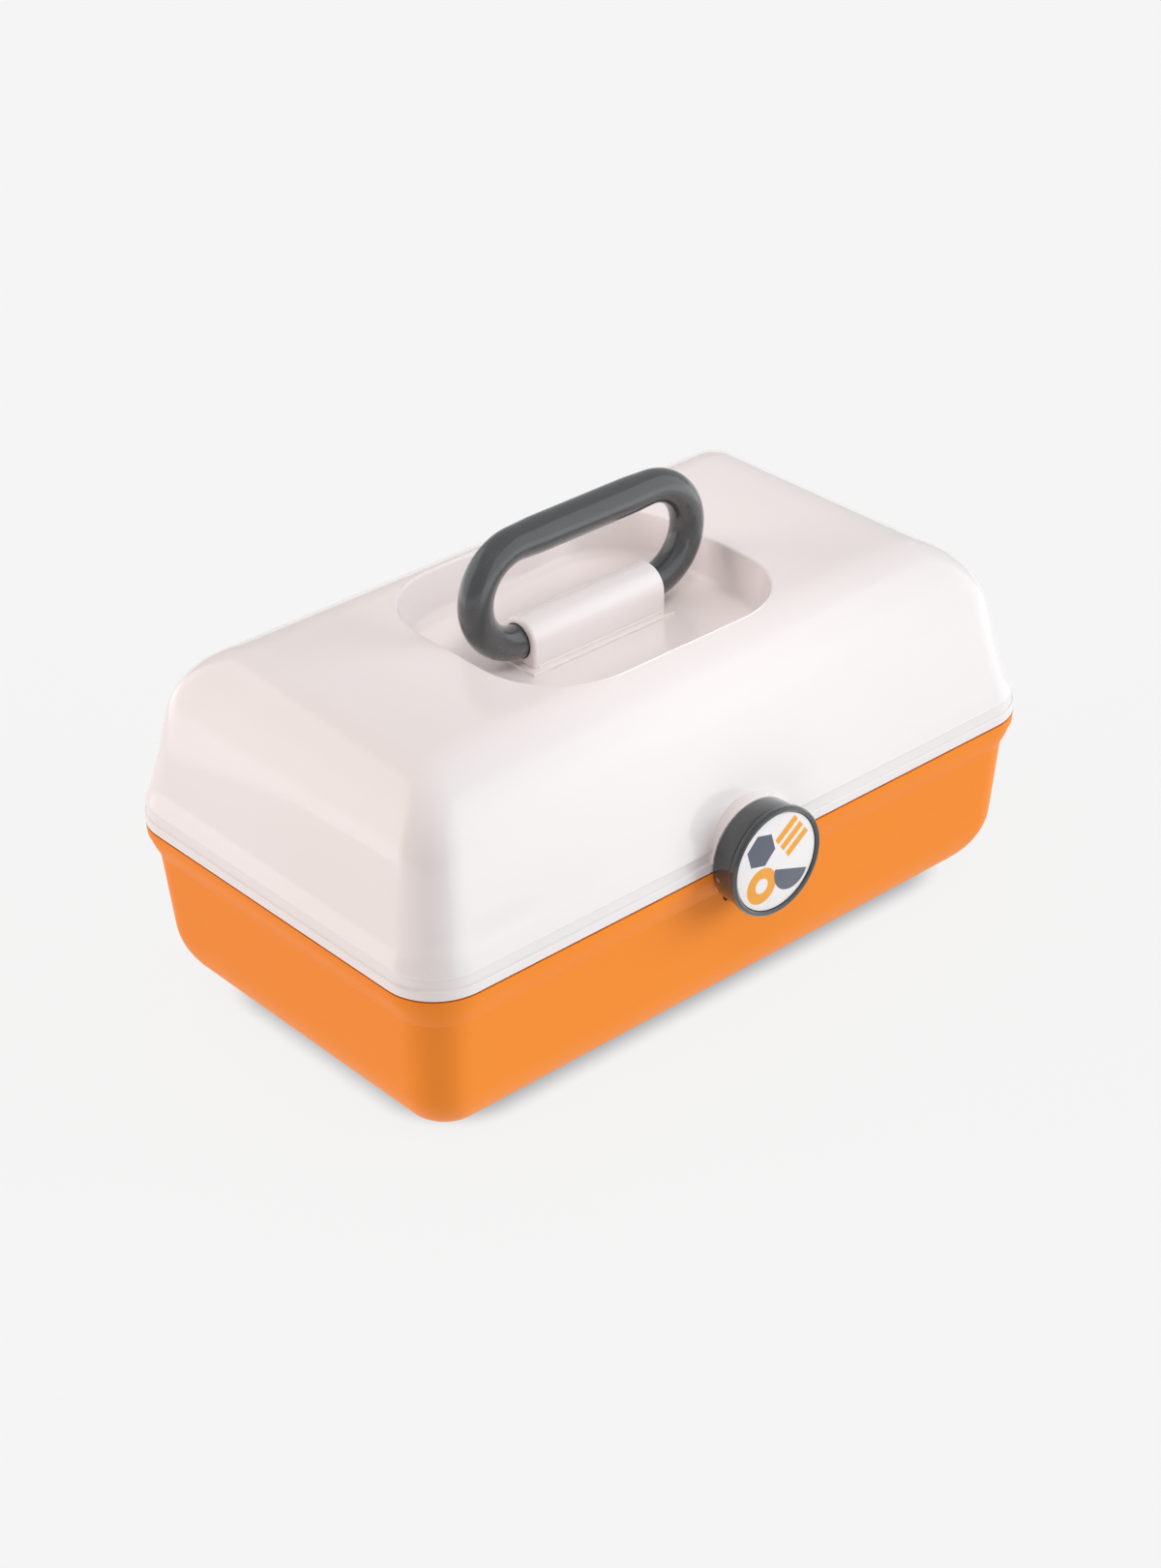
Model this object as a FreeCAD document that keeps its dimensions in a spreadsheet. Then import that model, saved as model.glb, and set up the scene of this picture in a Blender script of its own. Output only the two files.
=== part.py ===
# Hard cosmetic train case: two moulded shells on a rear hinge, a round snap latch in front,
# a folding bail handle in a well of the lid, a mirror that flips down inside the lid and a
# tray that rises level on a parallelogram linkage as the lid opens.
# Millimetres, +X along the length, -Y towards the latch, +Z up, origin under the middle of the base.
import FreeCAD, Part
import math
import os
import Sketcher

os.makedirs("parts", exist_ok=True)
doc = FreeCAD.newDocument("TrainCase")
sheet = doc.addObject("Spreadsheet::Sheet", "Sizes")
Vector = FreeCAD.Vector

# ---- driving dimensions -------------------------------------------------------------------
SIZES = {
    # whole case
    "case_length": 340,
    "case_width": 202,
    "seam_height": 81.4,
    "case_height": 162,
    "corner_radius": 24,
    "wall": 2.2,
    "seam_gap": 0.3,
    # base shell, drops are below the seam and insets are from the seam outline
    "band_drop": 4.5,
    "band_inset": 0.5,
    "flange_drop": 13,
    "flange_inset": 3.4,
    "flange_step": 0.5,
    "flange_bevel": 0.3,
    "base_end_draft": 3.5,
    "base_side_draft": 5.7,
    "keel_radius": 33,
    "keel_corner": 6.3,
    # lid shell, rises are above the seam
    "rim_proud": 0.8,
    "rim_rise": 4.8,
    "rim_bevel": 0.3,
    "rim_foot": 1.2,
    "groove_inset": 0.7,
    "groove_rise": 9.0,
    "groove_bevel": 0.2,
    "bead_rise": 9.7,
    "bead_proud": 0.4,
    "lid_knee": 0.5,
    "lid_wall_inset": 1.2,
    "lid_draft": 12,
    "shoulder_end": 36.5,
    "shoulder_side": 38,
    "crown_corner": 3,
    # tongue of the base rim that stands inside the lid rim
    "lip_rise": 2.5,
    "lip_clear": 0.4,
    # handle well in the lid
    "well_length": 143,
    "well_width": 120,
    "well_corner": 38,
    "well_depth": 19.5,
    "well_draft": 14,
    "well_fillet": 5,
    # handle
    "tube_radius": 7.7,
    "handle_length": 116,
    "handle_rise": 44.8,
    "handle_axis_drop": 8.7,
    "stub_gap": 12,
    "stub_web": 4,
    # saddle that holds the handle
    "saddle_length": 66,
    "saddle_radius": 10.2,
    "saddle_foot": 4,
    "saddle_foot_thick": 2.5,
    # running fits and small gaps
    "run_clear": 0.05,
    "side_clear": 0.4,
    "open_pivot_clear": 0.4,
    # rear hinge
    "knuckle_radius": 5,
    "knuckle_width": 14,
    "hinge_inset": 78,
    "hinge_pin_radius": 1.5,
    "hinge_air": 0.5,
    # latch
    "latch_rise": 1.6,
    "cup_radius": 23.3,
    "cup_depth": 10,
    "cup_bevel": 0.4,
    "cup_flare": 0.2,
    "cup_groove": 0.5,
    "cup_floor": 1.6,
    "bezel_radius": 24.4,
    "bezel_depth": 3.8,
    "bezel_bevel": 1.2,
    "bezel_crest": 0.6,
    "face_recess": 0.9,
    "face_clear": 0.1,
    "cup_wall": 2,
    "face_radius": 22.1,
    "face_thick": 1.5,
    "pad_radius": 26.2,
    "latch_axis_drop": 13.4,
    "latch_axis_forward": 0.9,
    "latch_swing": 60,
    "latch_pin_radius": 1.4,
    "latch_lug_radius": 3.5,
    "latch_lug_width": 3,
    "latch_lug_offset": 5,
    "catch_pin_drop": 1.8,
    "catch_pin_radius": 1.25,
    "keeper_width": 14,
    "keeper_thick": 1.0,
    "keeper_nose": 0.7,
    "keeper_drop": 5.6,
    "catch_gap": 0.3,
    # tray linkage
    "crank_gap": 37.5,
    "crank_drop": 12,
    "arm_pivot_lead": 15.8,
    "arm_pivot_drop": 12.4,
    "link_gap": 0.6,
    "arm_thick": 2.5,
    "arm_half_width": 5,
    "link_pin_radius": 2,
    "pin_head_radius": 3.2,
    "pin_head_thick": 1.4,
    "pivot_boss_radius": 6,
    "tray_boss_radius": 5,
    "arm_eye_radius": 5.5,
    # tray
    "tray_end_gap": 20,
    "tray_side_gap": 37.5,
    "tray_drop": 8.4,
    "tray_height": 23,
    "tray_wall": 1.8,
    "tray_corner": 14,
    "rib_drop": 3,
    "divider_thick": 1.4,
    "divider_drop": 4,
    # lid brackets for the tray
    "bracket_rise": 17,
    "bracket_width": 16,
    "bracket_block": 6,
    "bracket_lip": 1,
    "screw_radius": 1.4,
    "screw_length": 9,
    "screw_head": 2.8,
    "screw_bite": 3,
    "tap_spare": 1,
    # mirror
    "mirror_end_gap": 78,
    "mirror_front_gap": 51.6,
    "mirror_thick": 4,
    "mirror_drop": 5.3,
    "mirror_axis_inset": 39.5,
    "mirror_border": 7,
    "mirror_corner": 10,
    "glass_thick": 1.5,
    "mirror_lug_radius": 3.5,
    "mirror_lug_width": 10,
    "mirror_ear_width": 4,
    "mirror_lug_inset": 18,
    "mirror_pin_radius": 1.25,
    "mirror_neck_bite": 2,
    "mirror_neck_bevel": 0.5,
}
for number, (alias, value) in enumerate(SIZES.items(), 1):
    sheet.set("A%d" % number, str(value))
    sheet.setAlias("A%d" % number, alias)
doc.recompute()

# ---- sizes and places that follow from the driving ones ----------------------------------------
FOLLOWS = {
    "hinge_offset": "case_length / 2 - hinge_inset",
    "hinge_y": "case_width / 2 + rim_proud + knuckle_radius + hinge_air",
    "latch_height": "seam_height + latch_rise",
    "latch_axis_height": "seam_height - latch_axis_drop",
    "catch_pin_height": "seam_height - catch_pin_drop",
    "crank_reach": "case_width / 2 - crank_gap",
    "arm_pivot_y": "hinge_y - crank_reach - arm_pivot_lead",
    "arm_pivot_height": "seam_height - arm_pivot_drop",
    "tray_length": "case_length - 2 * tray_end_gap",
    "tray_width": "case_width - 2 * tray_side_gap",
    "tray_floor": "seam_height - tray_drop - tray_height",
    "mirror_axis_y": "case_width / 2 - mirror_axis_inset",
    "mirror_top": "case_height - well_depth - wall - mirror_drop",
    "mirror_length": "case_length - 2 * mirror_end_gap",
    "mirror_width": "mirror_axis_y - mirror_lug_radius - side_clear + case_width / 2 - mirror_front_gap",
    "mirror_lug_offset": "mirror_length / 2 - mirror_lug_inset",
}

def cells(expression):
    """An expression on named sizes, with every name traced back to a cell of the sheet."""
    words = []
    word = ""
    for mark in expression + " ":
        if mark.isalnum() or mark == "_":
            word += mark
            continue
        if word in FOLLOWS:
            words.append("(" + cells(FOLLOWS[word]) + ")")
        elif word in SIZES:
            words.append("Sizes." + word)
        else:
            words.append(word)
        words.append(mark)
        word = ""
    return "".join(words).strip()


def measure(expression):
    """What an expression on named sizes comes to now."""
    return float(sheet.evalExpression(cells(expression)))


def get(alias):
    """One named size's value."""
    return measure(alias)


def place(thing, x, y, z):
    """Bind the three coordinates of a placement."""
    thing.setExpression("Placement.Base.x", cells(x))
    thing.setExpression("Placement.Base.y", cells(y))
    thing.setExpression("Placement.Base.z", cells(z))
    return thing


def box(name, length, width, height, x, y, z):
    """A block centred on x and y, standing on z."""
    thing = doc.addObject("Part::Box", name)
    thing.setExpression("Length", cells(length))
    thing.setExpression("Width", cells(width))
    thing.setExpression("Height", cells(height))
    return place(thing, "%s - (%s) / 2" % (x, length), "%s - (%s) / 2" % (y, width), z)


def rod(name, radius, length, x, y, z, along="X"):
    """A cylinder that starts at x, y, z and runs along +X, +Y or +Z."""
    thing = doc.addObject("Part::Cylinder", name)
    thing.setExpression("Radius", cells(radius))
    thing.setExpression("Height", cells(length))
    turns = {"X": (Vector(0, 1, 0), 90), "Y": (Vector(1, 0, 0), -90), "Z": (Vector(0, 0, 1), 0)}
    axis, angle = turns[along]
    thing.Placement.Rotation = FreeCAD.Rotation(axis, angle)
    return place(thing, x, y, z)


def cone(name, radius, head, length, x, y, z):
    """A countersunk head whose wide face is at x, y, z and which runs along +X."""
    thing = doc.addObject("Part::Cone", name)
    thing.setExpression("Radius1", cells(head))
    thing.setExpression("Radius2", cells(radius))
    thing.setExpression("Height", cells(length))
    thing.Placement.Rotation = FreeCAD.Rotation(Vector(0, 1, 0), 90)
    return place(thing, x, y, z)


def fuse(name, *things):
    """One solid from several that overlap or touch."""
    thing = doc.addObject("Part::MultiFuse", name)
    thing.Shapes = list(things)
    thing.Refine = True
    return thing


def cut(name, base, *tools):
    """The base less the tools."""
    thing = doc.addObject("Part::Cut", name)
    thing.Base = base
    thing.Tool = tools[0] if len(tools) == 1 else fuse(name + "_tools", *tools)
    thing.Refine = True
    return thing


def mirrored(name, source):
    """The same piece on the other end of the case."""
    thing = doc.addObject("Part::Mirroring", name)
    thing.Source = source
    thing.Normal = Vector(1, 0, 0)
    thing.Base = Vector(0, 0, 0)
    return thing


def group(name, *things):
    """Several separate solids that share one node."""
    thing = doc.addObject("Part::Compound", name)
    thing.Links = list(things)
    return thing


def feature(name, shape):
    """A solid made by Part's own functions from the sheet's values."""
    thing = doc.addObject("Part::Feature", name)
    thing.Shape = shape
    thing.Placement = FreeCAD.Placement()
    return thing


# ---- rounded outlines and the walls drawn through them --------------------------------------
def outline(inset_x, inset_y, corner, z):
    """The seam outline, drawn in by the insets, at height z."""
    half_x = get("case_length") / 2 - inset_x
    half_y = get("case_width") / 2 - inset_y
    return rounded(half_x, half_y, corner, z)


def rounded(half_x, half_y, corner, z):
    """A rectangle with rounded corners, four arcs and four lines."""
    x = half_x - corner
    y = half_y - corner
    arcs = []
    for centre_x, centre_y, start in ((x, y, 0), (-x, y, 90), (-x, -y, 180), (x, -y, 270)):
        points = []
        for turn in (0, 45, 90):
            angle = math.radians(start + turn)
            on_x = centre_x + corner * math.cos(angle)
            on_y = centre_y + corner * math.sin(angle)
            points.append(Vector(on_x, on_y, z))
        arcs.append(Part.Arc(*points).toShape())
    edges = []
    for index, arc in enumerate(arcs):
        after = arcs[(index + 1) % len(arcs)]
        edges.append(arc)
        edges.append(Part.makeLine(arc.Vertexes[-1].Point, after.Vertexes[0].Point))
    return Part.Wire(edges)


def straight(low, high):
    """A solid with straight walls between two outlines."""
    return Part.makeLoft([low, high], True, True)


def banded(bands):
    """Stacked bands, each (low z, low inset, high z, high inset), at the shell's own corner."""
    corner = get("corner_radius")
    solids = []
    for low_z, low_inset, high_z, high_inset in bands:
        low = outline(low_inset, low_inset, corner - low_inset, low_z)
        high = outline(high_inset, high_inset, corner - high_inset, high_z)
        solids.append(straight(low, high))
    return solids


class Wall:
    """A drafted wall that turns into a level floor or crown through an arc.

    rise counts from the wall's root, whichever way the shell faces.
    """

    def __init__(self, root_inset, draft, radius, depth, thickness=0.0):
        self.draft = math.radians(draft)
        self.radius = radius - thickness
        self.centre_rise = depth - radius
        self.turn_rise = self.centre_rise + radius * math.sin(self.draft)
        turn_inset = root_inset + self.turn_rise * math.tan(self.draft)
        self.centre_inset = turn_inset + radius * math.cos(self.draft)
        self.root_inset = root_inset + thickness / math.cos(self.draft)
        self.tangent_rise = self.centre_rise + self.radius * math.sin(self.draft)

    def inset(self, rise):
        """How far the wall stands in from the seam outline at this rise."""
        if rise <= self.tangent_rise:
            return self.root_inset + rise * math.tan(self.draft)
        over = min(rise - self.centre_rise, self.radius)
        return self.centre_inset - math.sqrt(self.radius ** 2 - over ** 2)


WALL_RINGS = 6
ARC_RINGS = 10


def curved(root_z, facing, end_wall, side_wall, corner_root, corner_crown, start_rise=0.0):
    """A smooth solid from the wall's root to its floor or crown."""
    tangent = side_wall.tangent_rise
    rises = []
    for index in range(WALL_RINGS):
        rises.append(start_rise + (tangent - start_rise) * index / WALL_RINGS)
    for index in range(ARC_RINGS + 1):
        angle = side_wall.draft + (math.pi / 2 - side_wall.draft) * index / ARC_RINGS
        rises.append(side_wall.centre_rise + side_wall.radius * math.sin(angle))
    first = side_wall.inset(start_rise)
    last = side_wall.inset(rises[-1])
    rings = []
    for rise in rises:
        inset = side_wall.inset(rise)
        share = (inset - first) / (last - first)
        corner = corner_root + (corner_crown - corner_root) * share
        rings.append(outline(end_wall.inset(rise), inset, corner, root_z + facing * rise))
    return Part.makeLoft(rings, True, False)


def merge(solids):
    """One clean solid from stacked ones."""
    whole = solids[0].multiFuse(solids[1:])
    return whole.removeSplitter()


# ---- places worked out from the driving dimensions -------------------------------------------
SEAM = "seam_height"
LID_SEAM = "seam_height + seam_gap"
HINGE_Y = "hinge_y"
WELL_FLOOR = "case_height - well_depth"
HANDLE_AXIS = "case_height - handle_axis_drop"
CUP_BACK = "-case_width / 2 - rim_proud - side_clear"
LATCH_Y = "-case_width / 2 - rim_proud - side_clear - latch_axis_forward"
KEEPER_FRONT = "-case_width / 2 - side_clear - keeper_thick - keeper_nose"
CATCH_Y = KEEPER_FRONT + " - catch_gap - catch_pin_radius"
CRANK_Y = HINGE_Y + " - crank_reach"
CRANK_Z = "seam_height - crank_drop"
ARM_TIP_Y = "arm_pivot_y - crank_reach"
ARM_TIP_Z = "arm_pivot_height - crank_drop"
LINK_X = "tray_length / 2 + link_gap"
BRACKET_FACE = LINK_X + " + arm_thick + bracket_block"
BRACKET_SCREW_Z = "seam_height + bracket_rise - bracket_width / 4"


# ---- base shell --------------------------------------------------------------------------------
def base_blank():
    """The tub with its flared rim, hollow."""
    seam = get("seam_height")
    wall = get("wall")
    corner = get("corner_radius")
    root_inset = get("flange_inset") + get("flange_step")
    depth = seam - get("flange_drop")
    root_z = depth
    outer_walls = []
    inner_walls = []
    for draft in (get("base_end_draft"), get("base_side_draft")):
        outer_walls.append(Wall(root_inset, draft, get("keel_radius"), depth))
        inner_walls.append(Wall(root_inset, draft, get("keel_radius"), depth, wall))
    outer = [curved(root_z, -1, *outer_walls, corner - root_inset, get("keel_corner"))]
    outer += banded([
        (root_z, get("flange_inset"), seam - get("band_drop"), get("band_inset") + get("flange_bevel")),
        (seam - get("band_drop"), get("band_inset"), seam, 0.0),
    ])
    lip_inset = wall + get("lip_clear")
    outer += banded([(seam - get("band_drop"), lip_inset, seam + get("lip_rise"), lip_inset)])
    inner_corner = corner - root_inset - wall
    hollow = [curved(root_z, -1, *inner_walls, inner_corner, get("keel_corner") - wall)]
    top = seam + 2 * get("lip_rise")
    root_insets = [side.inset(0) for side in inner_walls]
    top_insets = [side.inset(root_z - top) for side in inner_walls]
    low = outline(*root_insets, inner_corner, root_z)
    high = outline(*top_insets, inner_corner, top)
    hollow.append(straight(low, high))
    return merge(outer), merge(hollow)


def base_shell():
    """Tub, rear knuckles, latch lugs and the bosses that carry the tray arms."""
    outer_shape, hollow_shape = base_blank()
    outer = feature("base_outer", outer_shape)
    hollow = feature("base_hollow", hollow_shape)
    tub = cut("base_tub", outer, hollow)
    adds = [tub]
    cuts = []
    for side, sign in (("left", "-"), ("right", "")):
        middle = sign + "hinge_offset"
        for end, shift in (("outer", " + "), ("inner", " - ")):
            x = middle + shift + "(knuckle_width + side_clear)"
            name = "base_knuckle_%s_%s" % (side, end)
            adds.append(rod(name, "knuckle_radius", "knuckle_width", x + " - knuckle_width / 2",
                            HINGE_Y, SEAM))
            web = "knuckle_radius + hinge_air + rim_proud + wall"
            y = HINGE_Y + " - (%s) / 2" % web
            rise = "flange_drop - flange_step"
            adds.append(box(name + "_web", "knuckle_width", web, rise, x, y, "seam_height - (%s)" % rise))
        start = middle + " - 2 * knuckle_width"
        cuts.append(rod("base_hinge_bore_" + side, "hinge_pin_radius", "4 * knuckle_width", start,
                        HINGE_Y, SEAM))
    reach = "rim_proud + side_clear + latch_axis_forward + flange_inset + wall"
    for side, sign in (("left", "-"), ("right", "")):
        x = sign + "latch_lug_offset"
        y = LATCH_Y + " + (%s) / 2" % reach
        name = "latch_lug_" + side
        adds.append(box(name, "latch_lug_width", reach, "latch_lug_radius", x, y, "latch_axis_height"))
        adds.append(rod(name + "_eye", "latch_lug_radius", "latch_lug_width", x + " - latch_lug_width / 2",
                        LATCH_Y, "latch_axis_height"))
    cuts.append(rod("latch_lug_bore", "latch_pin_radius + run_clear", "4 * latch_lug_offset",
                    "-2 * latch_lug_offset", LATCH_Y, "latch_axis_height"))
    boss_x = LINK_X + " + arm_thick + side_clear"
    boss_length = "case_length / 2 - flange_inset - wall - (%s)" % boss_x
    right = rod("arm_boss", "pivot_boss_radius", boss_length, boss_x, "arm_pivot_y", "arm_pivot_height")
    adds += [right, mirrored("arm_boss_left", right)]
    far = "case_length / 2 - 3 * wall - flange_inset"
    cuts.append(rod("arm_boss_bore", "link_pin_radius", "2 * (%s)" % far, "-(%s)" % far,
                    "arm_pivot_y", "arm_pivot_height"))
    inside = fuse("base_with_fittings", *adds)
    return cut("base_shell", inside, *cuts)


# ---- lid shell ---------------------------------------------------------------------------------
def lid_blank():
    """The domed cover with its banded rim, and the space inside it."""
    seam = get("seam_height")
    low = seam + get("seam_gap")
    wall = get("wall")
    corner = get("corner_radius")
    rim = seam + get("rim_rise")
    groove = seam + get("groove_rise")
    bead = seam + get("bead_rise")
    proud = get("rim_proud")
    depth = get("case_height") - bead
    draft = get("lid_draft")
    crown = get("crown_corner")
    bevel = get("rim_bevel")
    foot = get("rim_foot")
    dip = get("groove_inset")
    walls = []
    for radius in (get("shoulder_end"), get("shoulder_side")):
        walls.append(Wall(get("lid_wall_inset"), draft, radius, depth))
    outer = [curved(bead, 1, walls[0], walls[1], corner - get("lid_wall_inset"), crown)]
    outer += banded([
        (low, bevel, low + foot, bevel - proud),
        (low + foot, bevel - proud, rim - foot, -proud),
        (rim - foot, -proud, rim, bevel - proud),
        (rim, dip, groove, dip + get("groove_bevel")),
        (groove, dip - get("bead_proud"), bead, get("lid_wall_inset") - bevel),
    ])
    inner_walls = []
    for radius in (get("shoulder_end"), get("shoulder_side")):
        inner_walls.append(Wall(get("lid_wall_inset"), draft, radius, depth, wall))
    inner_corner = corner - get("lid_wall_inset") - wall
    inner = [curved(bead, 1, inner_walls[0], inner_walls[1], inner_corner, crown - wall / 2)]
    root = inner_walls[1].root_inset
    knee = bead - (root - wall) / math.tan(inner_walls[1].draft)
    knee = max(knee, low + get("lid_knee"))
    mouth = outline(wall, wall, corner - wall, low - wall)
    bend = outline(wall, wall, corner - wall, knee)
    top = outline(root, root, inner_corner, bead)
    inner += [straight(mouth, bend), straight(bend, top)]
    return merge(outer), merge(inner)


def well_solid(grow):
    """The handle well as a solid, grown outwards by a wall's thickness."""
    half_x = get("well_length") / 2 + grow
    half_y = get("well_width") / 2 + grow
    corner = get("well_corner") + grow
    top = get("case_height")
    floor = top - get("well_depth") - grow
    draw = (top - floor) * math.tan(math.radians(get("well_draft")))
    above = 0.0 if grow > 0 else get("wall")
    lift = above * math.tan(math.radians(get("well_draft")))
    high = rounded(half_x + lift, half_y + lift, corner + lift, top + above)
    low = rounded(half_x - draw, half_y - draw, corner - draw, floor)
    solid = straight(low, high)
    edges = []
    for edge in solid.Edges:
        if abs(edge.BoundBox.ZMax - floor) < 0.01:
            edges.append(edge)
    return solid.makeFillet(get("well_fillet") + grow / 2, edges)


def lid_shell():
    """Cover with handle well, latch pad and keeper, hinge knuckles and inner bosses."""
    outer_shape, inner_shape = lid_blank()
    thick_well = well_solid(get("wall")).common(outer_shape)
    well = well_solid(0.0)
    seam_z = get("seam_height") + get("seam_gap")
    half_width = get("case_width") / 2
    pad = Part.makeCylinder(get("pad_radius"), half_width / 2, Vector(0, -half_width - get("rim_proud"),
                            get("latch_height")), Vector(0, 1, 0))
    below = Part.makeBox(4 * half_width, 4 * half_width, seam_z, Vector(-2 * half_width, -2 * half_width, 0))
    pad = pad.cut(below)
    ears = []
    for sign in (-1, 1):
        ears.append(mirror_ear(sign).common(outer_shape))
        ears.append(bracket_boss(sign).common(outer_shape))
    hull = outer_shape.fuse(pad).cut(inner_shape)
    hull = hull.multiFuse([thick_well] + ears).cut(well).removeSplitter()
    cover = feature("lid_cover", hull)
    adds = [cover]
    cuts = []
    for side, sign in (("left", "-"), ("right", "")):
        x = sign + "hinge_offset"
        name = "lid_knuckle_" + side
        adds.append(rod(name, "knuckle_radius", "knuckle_width", x + " - knuckle_width / 2", HINGE_Y, SEAM))
        web = "knuckle_radius + hinge_air + rim_proud + wall / 2"
        y = HINGE_Y + " - (%s) / 2" % web
        adds.append(box(name + "_web", "knuckle_width", web, "groove_rise - seam_gap", x, y, LID_SEAM))
        cuts.append(rod(name + "_bore", "hinge_pin_radius + run_clear", "2 * knuckle_width",
                        x + " - knuckle_width", HINGE_Y, SEAM))
    keeper_y = "-case_width / 2 - side_clear - keeper_thick / 2"
    keeper_low = "seam_height - keeper_drop"
    adds.append(box("keeper", "keeper_width", "keeper_thick", "keeper_drop + rim_rise", "0",
                    keeper_y, keeper_low))
    nose_radius = "(keeper_thick + keeper_nose) / 2"
    adds.append(rod("keeper_nose_bead", nose_radius, "keeper_width", "-keeper_width / 2",
                    KEEPER_FRONT + " + " + nose_radius, keeper_low + " + " + nose_radius))
    floor_low = WELL_FLOOR + " - 2 * wall"
    for side, sign in (("left", "-"), ("right", "")):
        cuts.append(rod("saddle_hole_" + side, "screw_radius + side_clear / 2", "4 * wall",
                        sign + "stub_gap / 2", "0", floor_low, "Z"))
        ear_x = sign + "mirror_lug_offset"
        cuts.append(rod("mirror_ear_bore_" + side, "mirror_pin_radius", "4 * mirror_lug_width",
                        ear_x + " - 2 * mirror_lug_width", "mirror_axis_y", "mirror_top"))
    for offset in ("-bracket_width / 4", "bracket_width / 4"):
        reach = BRACKET_FACE + " + screw_bite"
        bore = rod("bracket_bore", "screw_radius", "2 * (%s)" % reach, "-(%s)" % reach,
                   CRANK_Y + " + " + offset, BRACKET_SCREW_Z)
        cuts.append(bore)
    whole = fuse("lid_with_fittings", *adds)
    return cut("lid_shell", whole, *cuts)


def mirror_ear(sign):
    """A rib that hangs from the crown beside the mirror's lug and carries its pin."""
    gap = get("side_clear")
    width = get("mirror_ear_width")
    inner = get("mirror_lug_offset") + get("mirror_lug_width") / 2 + gap
    low_x = inner if sign > 0 else -inner - width
    half = get("mirror_lug_radius")
    axis_y = get("mirror_axis_y")
    axis_z = get("mirror_top")
    rib = Part.makeBox(width, 2 * half, get("case_height") - axis_z, Vector(low_x, axis_y - half, axis_z))
    eye = Part.makeCylinder(half, width, Vector(low_x, axis_y, axis_z), Vector(1, 0, 0))
    return rib.fuse(eye)


def bracket_boss(sign):
    """A block on the lid's end wall with an upright face for a tray bracket."""
    face = measure(BRACKET_FACE)
    length = get("case_length") / 2 - face
    width = get("bracket_width")
    middle = measure(CRANK_Y)
    high = get("seam_height") + get("bracket_rise")
    low_x = face if sign > 0 else -face - length
    rise = width / 2 + get("bracket_lip")
    return Part.makeBox(length, width, rise, Vector(low_x, middle - width / 2, high - width / 2))


# ---- handle and its saddle ---------------------------------------------------------------------
def origin_plane(body, role):
    """A body's own origin plane."""
    for item in body.Origin.OriginFeatures:
        if item.Role == role:
            return item


def new_sketch(body, name, role):
    """An empty sketch on one of the body's origin planes."""
    sketch = body.newObject("Sketcher::SketchObject", name)
    sketch.AttachmentSupport = (origin_plane(body, role), "")
    sketch.MapMode = "FlatFace"
    return sketch


def pin_point(sketch, edge, end, x, y):
    """Hold a sketch point at two expressions."""
    for kind, words in (("DistanceX", x), ("DistanceY", y)):
        index = sketch.addConstraint(Sketcher.Constraint(kind, -1, 1, edge, end, measure(words)))
        sketch.setExpression("Constraints[%d]" % index, cells(words))


def polygon(sketch, points):
    """A closed outline whose corners are bound to the sheet."""
    values = []
    for x, y in points:
        values.append(Vector(measure(x), measure(y), 0))
    count = len(points)
    for index in range(count):
        sketch.addGeometry(Part.LineSegment(values[index], values[(index + 1) % count]), False)
    for index in range(count):
        sketch.addConstraint(Sketcher.Constraint("Coincident", index, 2, (index + 1) % count, 1))
    for index, (x, y) in enumerate(points):
        pin_point(sketch, index, 1, x, y)


def handle():
    """Round bail: a grip, two half-circle ends and two stubs that turn in to face each other."""
    half = get("handle_length") / 2
    rise = get("handle_rise")
    bend = rise / 2
    stub = get("stub_gap") / 2 + get("side_clear") + get("stub_web")
    axis_z = get("case_height") - get("handle_axis_drop")
    edges = []

    def at(x, z):
        return Vector(x, 0, axis_z + z)

    edges.append(Part.makeLine(at(-stub, 0), at(bend - half, 0)))
    edges.append(Part.Arc(at(bend - half, 0), at(-half, bend), at(bend - half, rise)).toShape())
    edges.append(Part.makeLine(at(bend - half, rise), at(half - bend, rise)))
    edges.append(Part.Arc(at(half - bend, rise), at(half, bend), at(half - bend, 0)).toShape())
    edges.append(Part.makeLine(at(half - bend, 0), at(stub, 0)))
    path = feature("handle_path", Part.Wire(edges))
    ring = Part.Circle(at(-stub, 0), Vector(1, 0, 0), get("tube_radius")).toShape()
    section = feature("handle_section", Part.Wire([ring]))
    sweep = doc.addObject("Part::Sweep", "handle")
    sweep.Sections = [section]
    sweep.Spine = (path, [])
    sweep.Solid = True
    sweep.Frenet = True
    return sweep


def handle_saddle():
    """Tunnel on the well's floor that the handle's two stubs turn in."""
    foot = box("saddle_foot_plate", "saddle_length + 2 * saddle_foot", "2 * saddle_radius + 2 * saddle_foot",
               "saddle_foot_thick", "0", "0", WELL_FLOOR)
    rise = "well_depth - handle_axis_drop"
    block = box("saddle_block", "saddle_length", "2 * saddle_radius", rise, "0", "0", WELL_FLOOR)
    crown = rod("saddle_crown", "saddle_radius", "saddle_length", "-saddle_length / 2", "0", HANDLE_AXIS)
    whole = fuse("saddle_blank", foot, block, crown)
    right = rod("saddle_bore", "tube_radius + run_clear", "saddle_length - stub_gap / 2 - stub_web",
                "stub_gap / 2 + stub_web", "0", HANDLE_AXIS)
    left = mirrored("saddle_bore_left", right)
    cuts = [right, left]
    for side, sign in (("left", "-"), ("right", "")):
        cuts.append(rod("saddle_tap_" + side, "screw_radius", "screw_length - 2 * wall + tap_spare",
                        sign + "stub_gap / 2", "0", WELL_FLOOR, "Z"))
    return cut("handle_saddle", whole, *cuts)


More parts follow.
